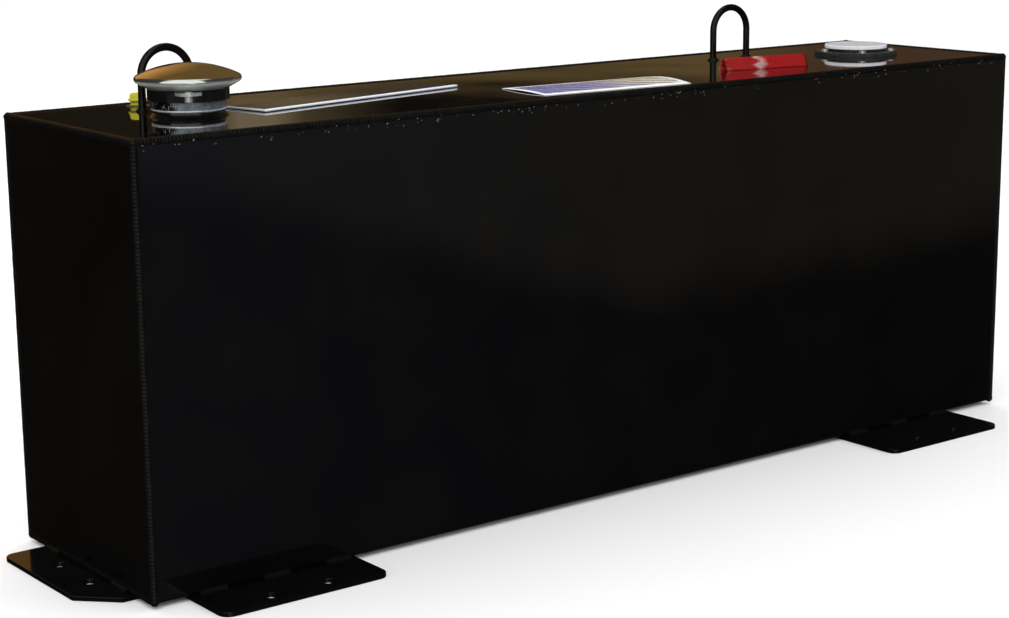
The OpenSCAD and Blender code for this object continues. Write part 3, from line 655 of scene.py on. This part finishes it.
def merged(meshes: Iterable[bpy.types.Mesh]) -> bpy.types.Mesh:
    """Joins meshes into one.

    Args:
        meshes: the meshes.

    Returns:
        The joined mesh.
    """
    form = bmesh.new()
    for mesh in meshes:
        form.from_mesh(mesh)
    return baked(form, "merged")


# Repeated forms


class Repeat:
    """A Geometry Nodes tree that repeats a small form, with named inputs."""

    KINDS = ((int, "Int"), (float, "Float"), (tuple, "Vector"), (bpy.types.Mesh, "Geometry"),
             (bpy.types.Object, "Object"), (bpy.types.Material, "Material"))

    def __init__(self, name: str, **values: object) -> None:
        """Makes the tree with an input for each value.

        Args:
            name: name of the tree.
            values: values by the name of their input, where a mesh is what the tree works on.
        """
        self.tree = bpy.data.node_groups.new(name, "GeometryNodeTree")
        self.maker = Maker(self.tree)
        self.tree.interface.new_socket("Geometry", in_out="OUTPUT",
                                       socket_type="NodeSocketGeometry")
        for label, value in values.items():
            kind = next(kind for sort, kind in self.KINDS if isinstance(value, sort))
            self.tree.interface.new_socket(label, in_out="INPUT",
                                           socket_type="NodeSocket" + kind)
        self.start = values.pop("Geometry", None)
        self.values = values
        self.entry = self.tree.nodes.new("NodeGroupInput")

    def read(self, name: str) -> Val:
        """Socket of a named input."""
        return Val(self.maker, self.entry.outputs[name])

    def chance(self, low: Val | float, high: Val | float) -> Val:
        """Random number for each point, drawn with the input that is named Seed."""
        return self.maker.make("FunctionNodeRandomValue",
                               {2: low, 3: high, "Seed": self.read("Seed")}, out=1,
                               data_type="FLOAT")

    def close(self, points: Val, form: Val, **how: Val) -> bpy.types.Mesh:
        """Puts the form on the points, realizes the copies and sets their material.

        Args:
            points: geometry with the points.
            form: geometry that is copied.
            how: Rotation and Scale of the copies.

        Returns:
            The evaluated mesh with no modifier on it.
        """
        make = self.maker.make
        copies = make("GeometryNodeInstanceOnPoints", {"Points": points, "Instance": form, **how})
        solid = make("GeometryNodeRealizeInstances", {0: copies})
        shown = make("GeometryNodeSetMaterial",
                     {"Geometry": solid, "Material": self.read("Material")})
        leave = self.tree.nodes.new("NodeGroupOutput")
        self.maker.join(shown, leave.inputs[0])
        holder = put("holder", self.start or bpy.data.meshes.new("holder"))
        modifier = holder.modifiers.new("repeat", "NODES")
        modifier.node_group = self.tree
        for item in self.tree.interface.items_tree:
            if item.in_out == "INPUT" and item.name in self.values:
                modifier[item.identifier] = self.values[item.name]
        bpy.context.view_layer.update()
        seen = holder.evaluated_get(bpy.context.evaluated_depsgraph_get())
        mesh = bpy.data.meshes.new_from_object(seen)
        bpy.data.objects.remove(holder)
        return mesh


def ripple_line(start: Point, end: Point, radius: float, pitch: float, seed: int,
                finish: Finish) -> bpy.types.Mesh:
    """Row of overlapping weld ripples along a straight seam.

    Args:
        start: first point of the bead's centre line.
        end: last point of the bead's centre line.
        radius: outside radius of the bead.
        pitch: distance between two ripples.
        seed: seed of the ripples' small differences.
        finish: finish of the bead.

    Returns:
        The mesh of the bead.
    """
    smallest, overlap = 0.96, 1.3
    length = (Vector(end) - Vector(start)).length
    rule = Repeat("weld_ripples", Start=start, End=end, Count=max(2, round(length / pitch)),
                  Radius=radius, Pitch=pitch, Seed=seed, Material=finish.build())
    make, read = rule.maker.make, rule.read
    line = make("GeometryNodeMeshLine",
                {"Count": read("Count"), "Start Location": read("Start"), "Offset": read("End")},
                mode="END_POINTS", count_mode="TOTAL")
    drop = make("GeometryNodeMeshUVSphere", {"Segments": 12, "Rings": 6, "Radius": read("Radius")})
    size = rule.chance(smallest, 1.0)
    shape = make("ShaderNodeCombineXYZ",
                 {0: size, 1: size, 2: (read("Pitch") * overlap) / read("Radius")})
    way = make("ShaderNodeVectorMath", {0: read("End"), 1: read("Start")}, operation="SUBTRACT")
    turn = make("FunctionNodeAlignRotationToVector", {"Vector": way}, axis="Z")
    return rule.close(line, drop, Rotation=turn, Scale=shape)


def spatter(area: bpy.types.Mesh, density: float, size: Pair, seed: int,
            finish: Finish) -> bpy.types.Mesh:
    """Small frozen drops scattered over an area.

    Args:
        area: mesh that the drops sit on.
        density: drops per square metre.
        size: smallest and largest radius of a drop.
        seed: seed of the scatter.
        finish: finish of the drops.

    Returns:
        The mesh of the drops.
    """
    rule = Repeat("weld_spatter", Geometry=area, Density=density, Smallest=size[0],
                  Largest=size[1], Seed=seed, Material=finish.build())
    make, read = rule.maker.make, rule.read
    points = make("GeometryNodeDistributePointsOnFaces",
                  {"Mesh": read("Geometry"), "Density": read("Density"), "Seed": read("Seed")})
    ball = make("GeometryNodeMeshIcoSphere", {"Radius": 1.0, "Subdivisions": 2})
    return rule.close(points, ball, Scale=rule.chance(read("Smallest"), read("Largest")))


def ring_of(form: bpy.types.Mesh, count: int, first: float, centre: Point, finish: Finish,
            sweep: float = 2 * math.pi) -> bpy.types.Mesh:
    """Copies of a mesh turned about a vertical axis.

    Args:
        form: the mesh to copy, placed for an angle of zero about the origin.
        count: number of copies.
        first: angle of the first copy.
        centre: point on the axis.
        finish: finish of the copies.
        sweep: whole angle that the copies are spread over.

    Returns:
        The mesh of the copies.
    """
    source = put("ring_source", form)
    rule = Repeat("ring_of_copies", Form=source, Count=count, First=first, Step=sweep / count,
                  Centre=centre, Material=finish.build())
    make, read = rule.maker.make, rule.read
    points = make("GeometryNodePoints", {"Count": read("Count"), "Position": read("Centre")})
    angle = make("GeometryNodeInputIndex") * read("Step") + read("First")
    turn = make("ShaderNodeCombineXYZ", {2: angle})
    shape = make("GeometryNodeObjectInfo", {"Object": read("Form")}, out="Geometry")
    mesh = rule.close(points, shape, Rotation=turn)
    bpy.data.objects.remove(source)
    return mesh


# Sub-assemblies


@dataclass
class TankBody:
    """Welded body: rippled beads, spatter and feet with rounded edges.

    Attributes:
        bead_radius: radius of the corner beads.
        bead_inset: distance of their centre lines from the outer faces.
        pitch: distance between two ripples.
        first_seed: seed of the first bead.
        rounding: width of the rounds on the feet.
        plates: feet that get rounded edges.
        strip: how far below the top bead's line the spatter starts and ends.
        strip_lean: how far the strip's upper edge stands in front of the wall.
        drops: drops of spatter per square metre.
        drop_size: smallest and largest radius of a drop.
        drop_seed: seed of the spatter.
    """

    bead_radius: float = 4.6 * MM
    bead_inset: float = 3.0 * MM
    pitch: float = 3.8 * MM
    first_seed: int = 11
    rounding: float = 0.7 * MM
    plates: tuple[str, ...] = ("foot_front_left", "foot_front_right", "foot_end_left",
                               "foot_end_right")
    strip: Pair = (9.0 * MM, 1.0 * MM)
    strip_lean: float = 1.2 * MM
    drops: float = 14000.0
    drop_size: Pair = (0.22 * MM, 0.6 * MM)
    drop_seed: int = 5

    def build(self) -> None:
        """Makes all pieces of the body."""
        self.beads()
        self.specks()
        for node in self.plates:
            add_piece(node + "_plate", softened(node, self.rounding), ROD_PAINT, Body.TANK,
                      "black_paint", (node,), smooth=False)

    def edges(self) -> list[Pair]:
        """Finds the centre lines of the beads.

        Returns:
            The lowest and highest place along X, Y and Z.
        """
        low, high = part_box("tank_wrap")
        spans = ((LEFT_FACE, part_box("tank_end_right")[1][0]), (FRONT_FACE, high[1]),
                 (low[2], TOP_FACE))
        return [(first + self.bead_inset, last - self.bead_inset) for first, last in spans]

    def beads(self) -> None:
        """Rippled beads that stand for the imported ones."""
        xs, ys, zs = self.edges()
        lines = [((xs[0], y, zs[1]), (xs[1], y, zs[1])) for y in ys]
        for x in xs:
            lines += [((x, ys[0], z), (x, ys[1], z)) for z in zs]
            lines += [((x, y, zs[0]), (x, y, zs[1])) for y in ys]
        rows = [ripple_line(*line, self.bead_radius, self.pitch, self.first_seed + i, WELD_PAINT)
                for i, line in enumerate(lines)]
        add_piece("corner_beads", merged(rows), WELD_PAINT, Body.TANK, "black_paint",
                  ("seam_welds",))

    def specks(self) -> None:
        """Spatter beside the top front bead."""
        xs, _, zs = self.edges()
        rows = ((FRONT_FACE, zs[1] - self.strip[0]),
                (FRONT_FACE - self.strip_lean, zs[1] - self.strip[1]))
        form = bmesh.new()
        strip = [(x, y, z) for (y, z), ends in zip(rows, (xs, xs[::-1])) for x in ends]
        form.faces.new([form.verts.new(p) for p in strip])
        area = baked(form, "spatter_area")
        drops = spatter(area, self.drops, self.drop_size, self.drop_seed, SPATTER)
        add_piece("front_spatter", drops, SPATTER, Body.TANK, "bare_steel")


@dataclass
class FillerCap:
    """Filler cap: its spun dome.

    Attributes:
        rim: radius of the rolled rim.
        rim_height: height of the rim's widest line above the underside.
        flank: radius at which the slanted lower flank begins.
        wall: thickness of the dome.
        bore: radius of the hole for the spindle.
    """

    rim: float = 4.0 * MM
    rim_height: float = 9.0 * MM
    flank: float = 41.5 * MM
    wall: float = 1.2 * MM
    bore: float = 6.05 * MM

    STEPS_ROUND = 160
    RIM_STEPS = 24
    CROWN_STEPS = 28

    def build(self) -> None:
        """Makes the dome."""
        low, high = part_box("cap_dome")
        centre = middle("cap_dome")
        centre.z = low[2]
        profile = self.outline((high[0] - low[0]) / 2, high[2] - low[2])
        add_piece("cap_cover", lathe(profile, centre, self.STEPS_ROUND), CHROME, Body.CAP_DOME,
                  "bright_chrome", ("cap_dome",))

    def outline(self, radius: float, tall: float) -> list[Pair]:
        """Profile of the dome from its hole, round the rim, to the crown's middle.

        Args:
            radius: outside radius of the rim.
            tall: height of the dome.

        Returns:
            Pairs of radius and height.
        """
        inner = radius - self.rim
        rise = tall - self.rim_height
        crown = (inner ** 2 + rise ** 2 - self.rim ** 2) / (2 * (rise - self.rim))
        centre = tall - crown
        meet = math.atan2(inner, self.rim_height - centre)
        reach = math.hypot(inner - self.flank, self.rim_height)
        slope = math.atan2(self.rim_height, inner - self.flank) - math.asin(self.rim / reach)
        first, last = slope - math.pi / 2, math.pi / 2 - meet
        rows = [(self.bore, self.wall), (self.bore, 0.0), (self.flank, 0.0)]
        for step in range(self.RIM_STEPS + 1):
            turn = first + (last - first) * step / self.RIM_STEPS
            rows.append((inner + self.rim * math.cos(turn),
                         self.rim_height + self.rim * math.sin(turn)))
        for step in range(1, self.CROWN_STEPS + 1):
            turn = meet * (1 - step / self.CROWN_STEPS)
            rows.append((max(0.0, crown * math.sin(turn)), centre + crown * math.cos(turn)))
        return rows


@dataclass
class VentPlug:
    """Moulded push-in plug with a waist and a ribbed head.

    Attributes:
        collar: height of the collar's underside above the top plate.
        ribs: number of grip ribs round the head.
        rib_depth: half the depth of a rib.
        rib_foot: height above the top plate from which the ribs rise.
    """

    collar: float = 1.1 * MM
    ribs: int = 18
    rib_depth: float = 0.25 * MM
    rib_foot: float = 8.0 * MM
    STEPS_ROUND = 72

    def build(self) -> None:
        """Makes the plug."""
        low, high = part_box("vent_plug")
        centre = middle("vent_plug")
        centre.z = TOP_FACE
        foot, top = low[2] - TOP_FACE, high[2] - TOP_FACE
        stem = [(0.0, 0.0), (4.6, 0.0), (5.8, 1.0)]
        waist = [(6.7, 0.0), (8.0, 0.0), (8.3, 1.0), (7.4, 3.2), (7.4, 3.8), (9.6, 4.4),
                 (10.2, 5.2), (10.0, 6.4), (8.4, 7.2)]
        head = [(8.2, -1.4), (7.2, -0.4), (5.4, 0.0), (5.0, -1.2), (0.0, -1.4)]
        profile = [(radius * MM, base + height * MM)
                   for base, part in ((foot, stem), (self.collar, waist), (top, head))
                   for radius, height in part]
        add_piece("vent_plug_moulding", lathe(profile, centre, self.STEPS_ROUND, self.rib),
                  YELLOW, Body.VENT_PLUG, "yellow_plastic", ("vent_plug",))

    def rib(self, angle: float, height: float) -> float:
        """Extra radius of the grip ribs at an angle and a height."""
        return self.rib_depth * math.cos(self.ribs * angle) if height > self.rib_foot else 0.0


@dataclass
class FloatGauge:
    """Gauge: screw heads and marks round the dial.

    Attributes:
        screws: number of screws.
        first_screw: angle of the first screw, in degrees.
        circle: radius of the screw circle.
        flange: height of the screws' seat above the top plate.
        marks: number of marks on the dial.
        mark_turn: angle of the first mark and of them all, in degrees.
        mark_reach: radii between which a mark runs.
        mark_width: width of a mark.
        mark_drop: how far the marks lie below the dial face's highest point.
        mark_rise: heights of a mark's faces from there.
    """

    screws: int = 5
    first_screw: float = 18.0
    circle: float = 44.0 * MM
    flange: float = 4.5 * MM
    marks: int = 9
    mark_turn: Pair = (-50.0, 275.0)
    mark_reach: Pair = (26.0 * MM, 33.0 * MM)
    mark_width: float = 1.4 * MM
    mark_drop: float = 1.2 * MM
    mark_rise: Pair = (-0.1 * MM, 0.12 * MM)
    STEPS_ROUND = 28

    def build(self) -> None:
        """Makes the screws and the dial's marks."""
        middle_x, middle_y, _ = middle("gauge_head")
        axis = (middle_x, middle_y, 0.0)
        one = lathe(self.screw(), Vector((self.circle, 0.0, 0.0)), self.STEPS_ROUND)
        heads = ring_of(one, self.screws, math.radians(self.first_screw), axis, ZINC)
        add_piece("flange_screws", heads, ZINC, Body.TANK, "zinc_steel", ("gauge_screws",))
        first, sweep = (math.radians(turn) for turn in self.mark_turn)
        ticks = ring_of(self.mark(), self.marks, first, axis, BLACK_PLASTIC,
                        sweep * self.marks / (self.marks - 1))
        add_piece("dial_marks", ticks, BLACK_PLASTIC, Body.TANK, "black_plastic", smooth=False)

    def screw(self) -> list[Pair]:
        """Works out the profile of a screw with a washer and a recess.

        Returns:
            Pairs of radius and height.
        """
        foot, top = (corner[2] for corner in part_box("gauge_screws"))
        seat = TOP_FACE + self.flange
        return [(2.5 * MM, foot), (2.5 * MM, seat), (5.0 * MM, seat), (5.0 * MM, seat + 0.6 * MM),
                (4.4 * MM, seat + 0.9 * MM), (4.1 * MM, top - 0.8 * MM), (3.0 * MM, top),
                (1.2 * MM, top), (0.9 * MM, top - 1 * MM), (0.0, top - 1 * MM)]

    def mark(self) -> bpy.types.Mesh:
        """Makes the first mark.

        Returns:
            Its mesh, placed about the origin.
        """
        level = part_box("dial_face")[1][2] - self.mark_drop
        half = self.mark_width / 2
        form = bmesh.new()
        for x in self.mark_reach:
            for y in (-half, half):
                for rise in self.mark_rise:
                    form.verts.new((x, y, level + rise))
        bmesh.ops.convex_hull(form, input=form.verts)
        return baked(form, "tick")


@dataclass
class Sheet:
    """A printed card on the top plate.

    Attributes:
        node: the CAD node it stands for.
        finish: its print.
        corner: its front left corner, from the tank's front left corner.
        size: length and depth.
        turn: angle of its length from +X, in degrees.
        thick: its thickness.
    """

    node: str
    finish: Finish
    corner: Pair
    size: Pair
    turn: float
    thick: float

    def grid(self, form: bmesh.types.BMesh, steps: tuple[int, int],
             rise: Callable[[float, float], float],
             shares: Shares) -> list[list[bmesh.types.BMVert]]:
        """Adds a grid of points that covers the card.

        Args:
            form: the form that they go into.
            steps: steps along and across.
            rise: height above the top plate at shares along and across.
            shares: gets the shares of each point.

        Returns:
            The points, in rows across the card.
        """
        spin = Matrix.Rotation(math.radians(self.turn), 3, "Z")
        rows = []
        for along in (i / steps[0] for i in range(steps[0] + 1)):
            rows.append([])
            for across in (j / steps[1] for j in range(steps[1] + 1)):
                flat = spin @ Vector((along * self.size[0], across * self.size[1], 0.0))
                vert = form.verts.new((LEFT_FACE + self.corner[0] + flat.x,
                                       FRONT_FACE + self.corner[1] + flat.y,
                                       TOP_FACE + rise(along, across)))
                shares[vert] = (along, across)
                rows[-1].append(vert)
        return rows

    def add(self, form: bmesh.types.BMesh, shares: Shares, ending: str, wall: float = 0.0) -> None:
        """Adds the form as the piece that stands for the card.

        Args:
            form: the form, which is freed.
            shares: places of its points on the UV map.
            ending: ending of the piece's name.
            wall: thickness that it is given, if any.
        """
        layer = form.loops.layers.uv.new("UVMap")
        for face in form.faces:
            for loop in face.loops:
                loop[layer].uv = shares[loop.vert]
        if wall:
            bmesh.ops.solidify(form, geom=form.faces[:], thickness=wall)
        add_piece(self.node + ending, baked(form, self.node), self.finish, Body.TANK, self.node,
                  (self.node,))


@dataclass
class Card(Sheet):
    """A card that lies flat and curls a little.

    Attributes:
        curl: height at a place along and across, both from 0 to 1.
    """

    curl: Callable[[float, float], float]
    STEPS = (48, 16)
    CLEAR_OF_PLATE = 0.05 * MM

    def build(self) -> None:
        """Makes the card as a closed thin sheet."""
        form = bmesh.new()
        shares: Shares = {}
        under, over = (self.grid(form, self.STEPS, lambda u, v, level=level:
                                 self.curl(u, v) + level + self.CLEAR_OF_PLATE, shares)
                       for level in (0.0, self.thick))
        last_i, last_j = self.STEPS
        for i in range(last_i):
            for j in range(last_j):
                form.faces.new((over[i][j], over[i + 1][j], over[i + 1][j + 1], over[i][j + 1]))
                form.faces.new((under[i][j + 1], under[i + 1][j + 1], under[i + 1][j],
                                under[i][j]))
        rim = [(i, 0) for i in range(last_i)] + [(last_i, j) for j in range(last_j)]
        rim += [(last_i - i, last_j - j) for i, j in rim]
        for (i, j), (k, m) in zip(rim, rim[1:] + rim[:1]):
            form.faces.new((under[i][j], under[k][m], over[k][m], over[i][j]))
        self.add(form, shares, "_sheet")


@dataclass
class Tent(Sheet):
    """A card folded along its middle, standing on two edges.

    Attributes:
        height: height of the fold.
        fullness: power that shapes the walls between the feet and the fold.
    """

    height: float
    fullness: float = 1.15
    STEPS = (30, 24)
    CLEAR_OF_PLATE = 0.1 * MM

    def build(self) -> None:
        """Makes the folded card."""
        form = bmesh.new()
        shares: Shares = {}
        rows = self.grid(form, self.STEPS, self.rise, shares)
        for row, after in zip(rows, rows[1:]):
            for j in range(self.STEPS[1]):
                form.faces.new((row[j], after[j], after[j + 1], row[j + 1]))
        folded = {vert: (u, 1 - abs(2 * v - 1)) for vert, (u, v) in shares.items()}
        self.add(form, folded, "_tent", self.thick / 2)

    def rise(self, _: float, across: float) -> float:
        """Height of the middle of the card above the plate."""
        bow = math.sin((1 - abs(2 * across - 1)) * math.pi / 2) ** self.fullness
        return self.CLEAR_OF_PLATE + (self.height - self.thick) * bow


def dark_curl(_: float, across: float) -> float:
    """Height of the dark card, whose front edge stands off the plate."""
    front, fall = 0.6 * MM, 0.8
    return front * (1 - fall * across)


def blue_curl(along: float, across: float) -> float:
    """Height of the blue card, which bows up in the middle and more to the right."""
    bow, left_share, gain = 3.0 * MM, 0.4, 0.6
    return bow * math.sin(math.pi * across) * (left_share + gain * along)


CARDS: tuple[Card | Tent, ...] = (
    Card("card_dark", CARD_DARK, (205 * MM, 104 * MM), (288 * MM, 62 * MM), 11.7, 2.2 * MM,
         dark_curl),
    Card("card_blue", CARD_BLUE, (507 * MM, 32 * MM), (196 * MM, 84 * MM), -4.5, 0.6 * MM,
         blue_curl),
    Tent("card_red", CARD_RED, (826 * MM, 88 * MM), (114 * MM, 20 * MM), -11.0, 0.8 * MM,
         15 * MM),
)


# Studio


class Room:
    """The room that gloss mirrors, as a colour for each direction.

    A direction is given by its way, which is the angle from +Y towards +X, and by its rise
    above the horizon, both in degrees. A pair holds the values between which a thing ends.
    """

    CENTRE_WAY = 37.0
    WINDOW_SIDE = (0.05, 0.2)
    WALL_TOP = (8.3, 9.6)
    GLOW_WAY = (20.0, 33.0)
    GLOW_RISE = (20.0, 45.0)
    GOLD_ASIDE = (38.0, 50.0)
    CEILING_RISE = (62.0, 74.0)
    GOLDS = ((0.11, 0.064, 0.014), (0.55, 0.26, 0.07))
    DUSK = (0.03, 0.029, 0.028)
    CEILING = (0.8, 0.8, 0.76)

    def __init__(self, maker: Maker) -> None:
        """Works out each ray's direction.

        Args:
            maker: maker of the world's tree.
        """
        degrees = 180 / math.pi
        self.maker = maker
        self.x, y, z = maker.axes(maker.make("ShaderNodeTexCoord", out="Generated"))
        self.back = y.above(0.0)
        self.rise = maker.math("ARCSINE", z) * degrees
        self.way = maker.math("ARCTAN2", self.x, y) * degrees
        self.front_way = maker.math("ARCTAN2", self.x, y.size()) * degrees

    def shade(self) -> Val:
        """Puts the walls, the space over them and the ceiling together.

        Returns:
            The colour in each direction.
        """
        maker, rise, back = self.maker, self.rise, self.back
        near = maker.fade(self.x, self.WINDOW_SIDE) * (1.0 - back)
        walls = maker.blend(near, maker.blend(back, self.wedge(), self.bands()), self.window())
        glow = maker.fade(self.way, self.GLOW_WAY) * maker.fade(rise, self.GLOW_RISE)
        shown = maker.fade((self.way - self.CENTRE_WAY).size(), self.GOLD_ASIDE) * back
        space = maker.blend(shown, self.DUSK, maker.blend(glow, *self.GOLDS))
        over = maker.grow(rise, self.WALL_TOP) * (1.0 - near)
        shade = maker.blend(over, walls, space)
        return maker.blend(maker.grow(rise, self.CEILING_RISE), shade, self.CEILING)

    def window(self) -> Val:
        """Pale window on the camera's side, dark below the horizon but for one bright strip.

        Returns:
            The colour.
        """
        strip_way, strip_side, horizon = -159.0, (7.0, 11.0), (-8.0, 0.0)
        strip = self.maker.fade((self.way - strip_way).size(), strip_side)
        low = self.maker.blend(strip, (0.05, 0.054, 0.058), (0.8, 0.84, 0.86))
        return self.maker.blend(self.maker.grow(self.rise, horizon), low, (0.85, 0.92, 0.84))

    def bands(self) -> Val:
        """Dim brown bands behind the tank, with a gold one below them, for the top plate.

        Returns:
            The colour.
        """
        shades = ((0.0, (0.009, 0.007, 0.004)), (1.0, (0.07, 0.038, 0.02)),
                  (0.262, (0.014, 0.011, 0.007)), (0.285, (0.2, 0.15, 0.09)),
                  (0.312, (0.2, 0.15, 0.09)), (0.335, (0.07, 0.05, 0.024)),
                  (0.38, (0.02, 0.015, 0.008)), (0.405, (0.004, 0.0035, 0.003)),
                  (0.52, (0.005, 0.0045, 0.004)), (0.56, (0.008, 0.0075, 0.006)),
                  (0.6, (0.014, 0.01, 0.007)), (0.65, (0.07, 0.038, 0.02)))
        left, right, shown = (27.0, 29.5), (43.0, 46.0), (20.0, 56.0)
        line_ways, line_rises = (32.0, 37.0), (6.4, 6.0)
        line_edge, horizon = (-0.2, 0.15), (0.0, 2.0)
        maker, way, rise = self.maker, self.way, self.rise
        upper = maker.ramp(maker.grow(way, shown), shades)
        line = maker.spread(way, *line_ways, *line_rises)
        under = maker.fade(rise - line, line_edge) * maker.grow(rise, horizon)
        sides = maker.grow(way, left) * maker.fade(way, right)
        return maker.blend(under * sides, upper, (0.12, 0.08, 0.03))

    def wedge(self) -> Val:
        """Lighter wedge in front of the tank, which its front wall mirrors.

        Returns:
            The colour.
        """
        tip_way, tip_rise, slope, edge = 41.2, -12.0, 0.25, (-0.6, 0.9)
        cool_ways = (28.0, 44.0)
        maker = self.maker
        limit = (self.front_way - tip_way).size() * slope + tip_rise
        cool = maker.grow(self.front_way, cool_ways)
        low = maker.blend(cool, (0.032, 0.036, 0.046), (0.008, 0.008, 0.008))
        high = maker.blend(cool, (0.085, 0.092, 0.105), (0.07, 0.06, 0.042))
        return maker.blend(maker.grow(self.rise - limit, edge), low, high)


@dataclass(frozen=True)
class Lamp:
    """A large soft square light that gloss doesn't mirror, with its power in watts."""

    name: str
    place: Point
    width: float
    power: float
    tint: Colour
    AIM = (0.0, 0.0, 0.25)

    def build(self) -> None:
        """Makes the light, aimed at the middle of the tank."""
        data = bpy.data.lights.new(self.name, "AREA")
        data.shape = "RECTANGLE"
        data.size = data.size_y = self.width
        data.energy = self.power
        data.color = self.tint
        lamp = put(self.name, data)
        lamp.location = self.place
        lamp.visible_glossy = False
        aim = Vector(self.AIM) - Vector(self.place)
        lamp.rotation_euler = aim.to_track_quat("-Z", "Y").to_euler()


@dataclass
class Studio:
    """Floor, light and camera.

    Attributes:
        eye: place of the camera in the row frame.
        aim: turn of the camera about X, Y and Z, in degrees.
        lens: focal length for a 36 mm wide frame.
        floor_tones: darkest and lightest colour of the floor.
        pale: colour of the surroundings for the eye and the light.
        lamps: the lights.
    """

    eye: Point = (-1.50427, -1.82141, 0.70453)
    aim: Point = (77.83119, 0.54522, -37.53266)
    lens: float = 75.434
    floor_radius: float = 60.0
    floor_tones: tuple[Colour, Colour] = ((0.93, 0.93, 0.93), (0.96, 0.96, 0.96))
    pale: Colour = (1.12, 1.12, 1.14)
    SENSOR_WIDTH = 36.0
    SIGHT = 200.0
    FLOOR_SIDES = 96
    FLOOR_PATCH = 1.5
    FLOOR_ROUGHNESS = 0.9
    lamps: tuple[Lamp, ...] = (
        Lamp("key", (-2.6, -2.4, 3.4), 2.4, 55.0, (1.0, 0.97, 0.92)),
        Lamp("fill", (3.0, -3.2, 2.2), 2.0, 22.0, (0.92, 0.95, 1.0)),
        Lamp("rim", (0.8, 3.2, 3.0), 2.4, 30.0, (1.0, 0.95, 0.86)),
    )

    def build(self) -> None:
        """Makes the stage."""
        bpy.context.scene.view_settings.view_transform = "Standard"
        self.camera()
        self.floor()
        self.world()
        for lamp in self.lamps:
            lamp.build()

    def camera(self) -> None:
        """Camera at the photograph's viewing angle."""
        data = bpy.data.cameras.new("photo_camera")
        data.lens = self.lens
        data.sensor_width = self.SENSOR_WIDTH
        data.sensor_fit = "HORIZONTAL"
        data.clip_end = self.SIGHT
        camera = put("photo_camera", data)
        camera.location = self.eye
        camera.rotation_euler = [math.radians(a) for a in self.aim]
        bpy.context.scene.camera = camera

    def floor(self) -> None:
        """Pale floor that gloss doesn't mirror."""
        form = bmesh.new()
        bmesh.ops.create_circle(form, cap_ends=True, segments=self.FLOOR_SIDES,
                                radius=self.floor_radius)
        mesh = baked(form, "floor")
        material, shader, maker = new_material("pale_floor")
        patches = maker.grow(maker.noise(self.FLOOR_PATCH), Finish.WEAR_RANGE)
        tone = maker.blend(patches, *self.floor_tones)
        maker.join(tone, shader.inputs["Base Color"])
        shader.inputs["Roughness"].default_value = self.FLOOR_ROUGHNESS
        mesh.materials.append(material)
        floor = put("floor", mesh)
        floor.visible_glossy = False

    def world(self) -> None:
        """Pale surroundings for the eye and the light, the darker room for reflections."""
        world = bpy.data.worlds.new("studio")
        bpy.context.scene.world = world
        world.use_nodes = True
        tree = world.node_tree
        tree.nodes.clear()
        maker = Maker(tree)
        path = maker.make("ShaderNodeLightPath", out="Is Glossy Ray")
        shade = maker.blend(path, self.pale, Room(maker).shade())
        light = maker.make("ShaderNodeBackground", {"Color": shade, "Strength": 1.0})
        leave = tree.nodes.new("ShaderNodeOutputWorld")
        maker.join(light, leave.inputs["Surface"])


def finish_nodes() -> None:
    """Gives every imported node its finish."""
    for finish, names in FINISHED_NODES:
        for name in names.split():
            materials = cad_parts[name].data.materials
            materials.clear()
            materials.append(finish.build())


def main() -> None:
    """Dresses the tank and sets the stage."""
    logging.basicConfig(level=logging.INFO)
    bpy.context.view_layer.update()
    finish_nodes()
    for part in (TankBody(), FillerCap(), VentPlug(), FloatGauge(), *CARDS, Studio()):
        part.build()
        LOG.info("built %s", type(part).__name__)


if __name__ == "__main__":
    main()
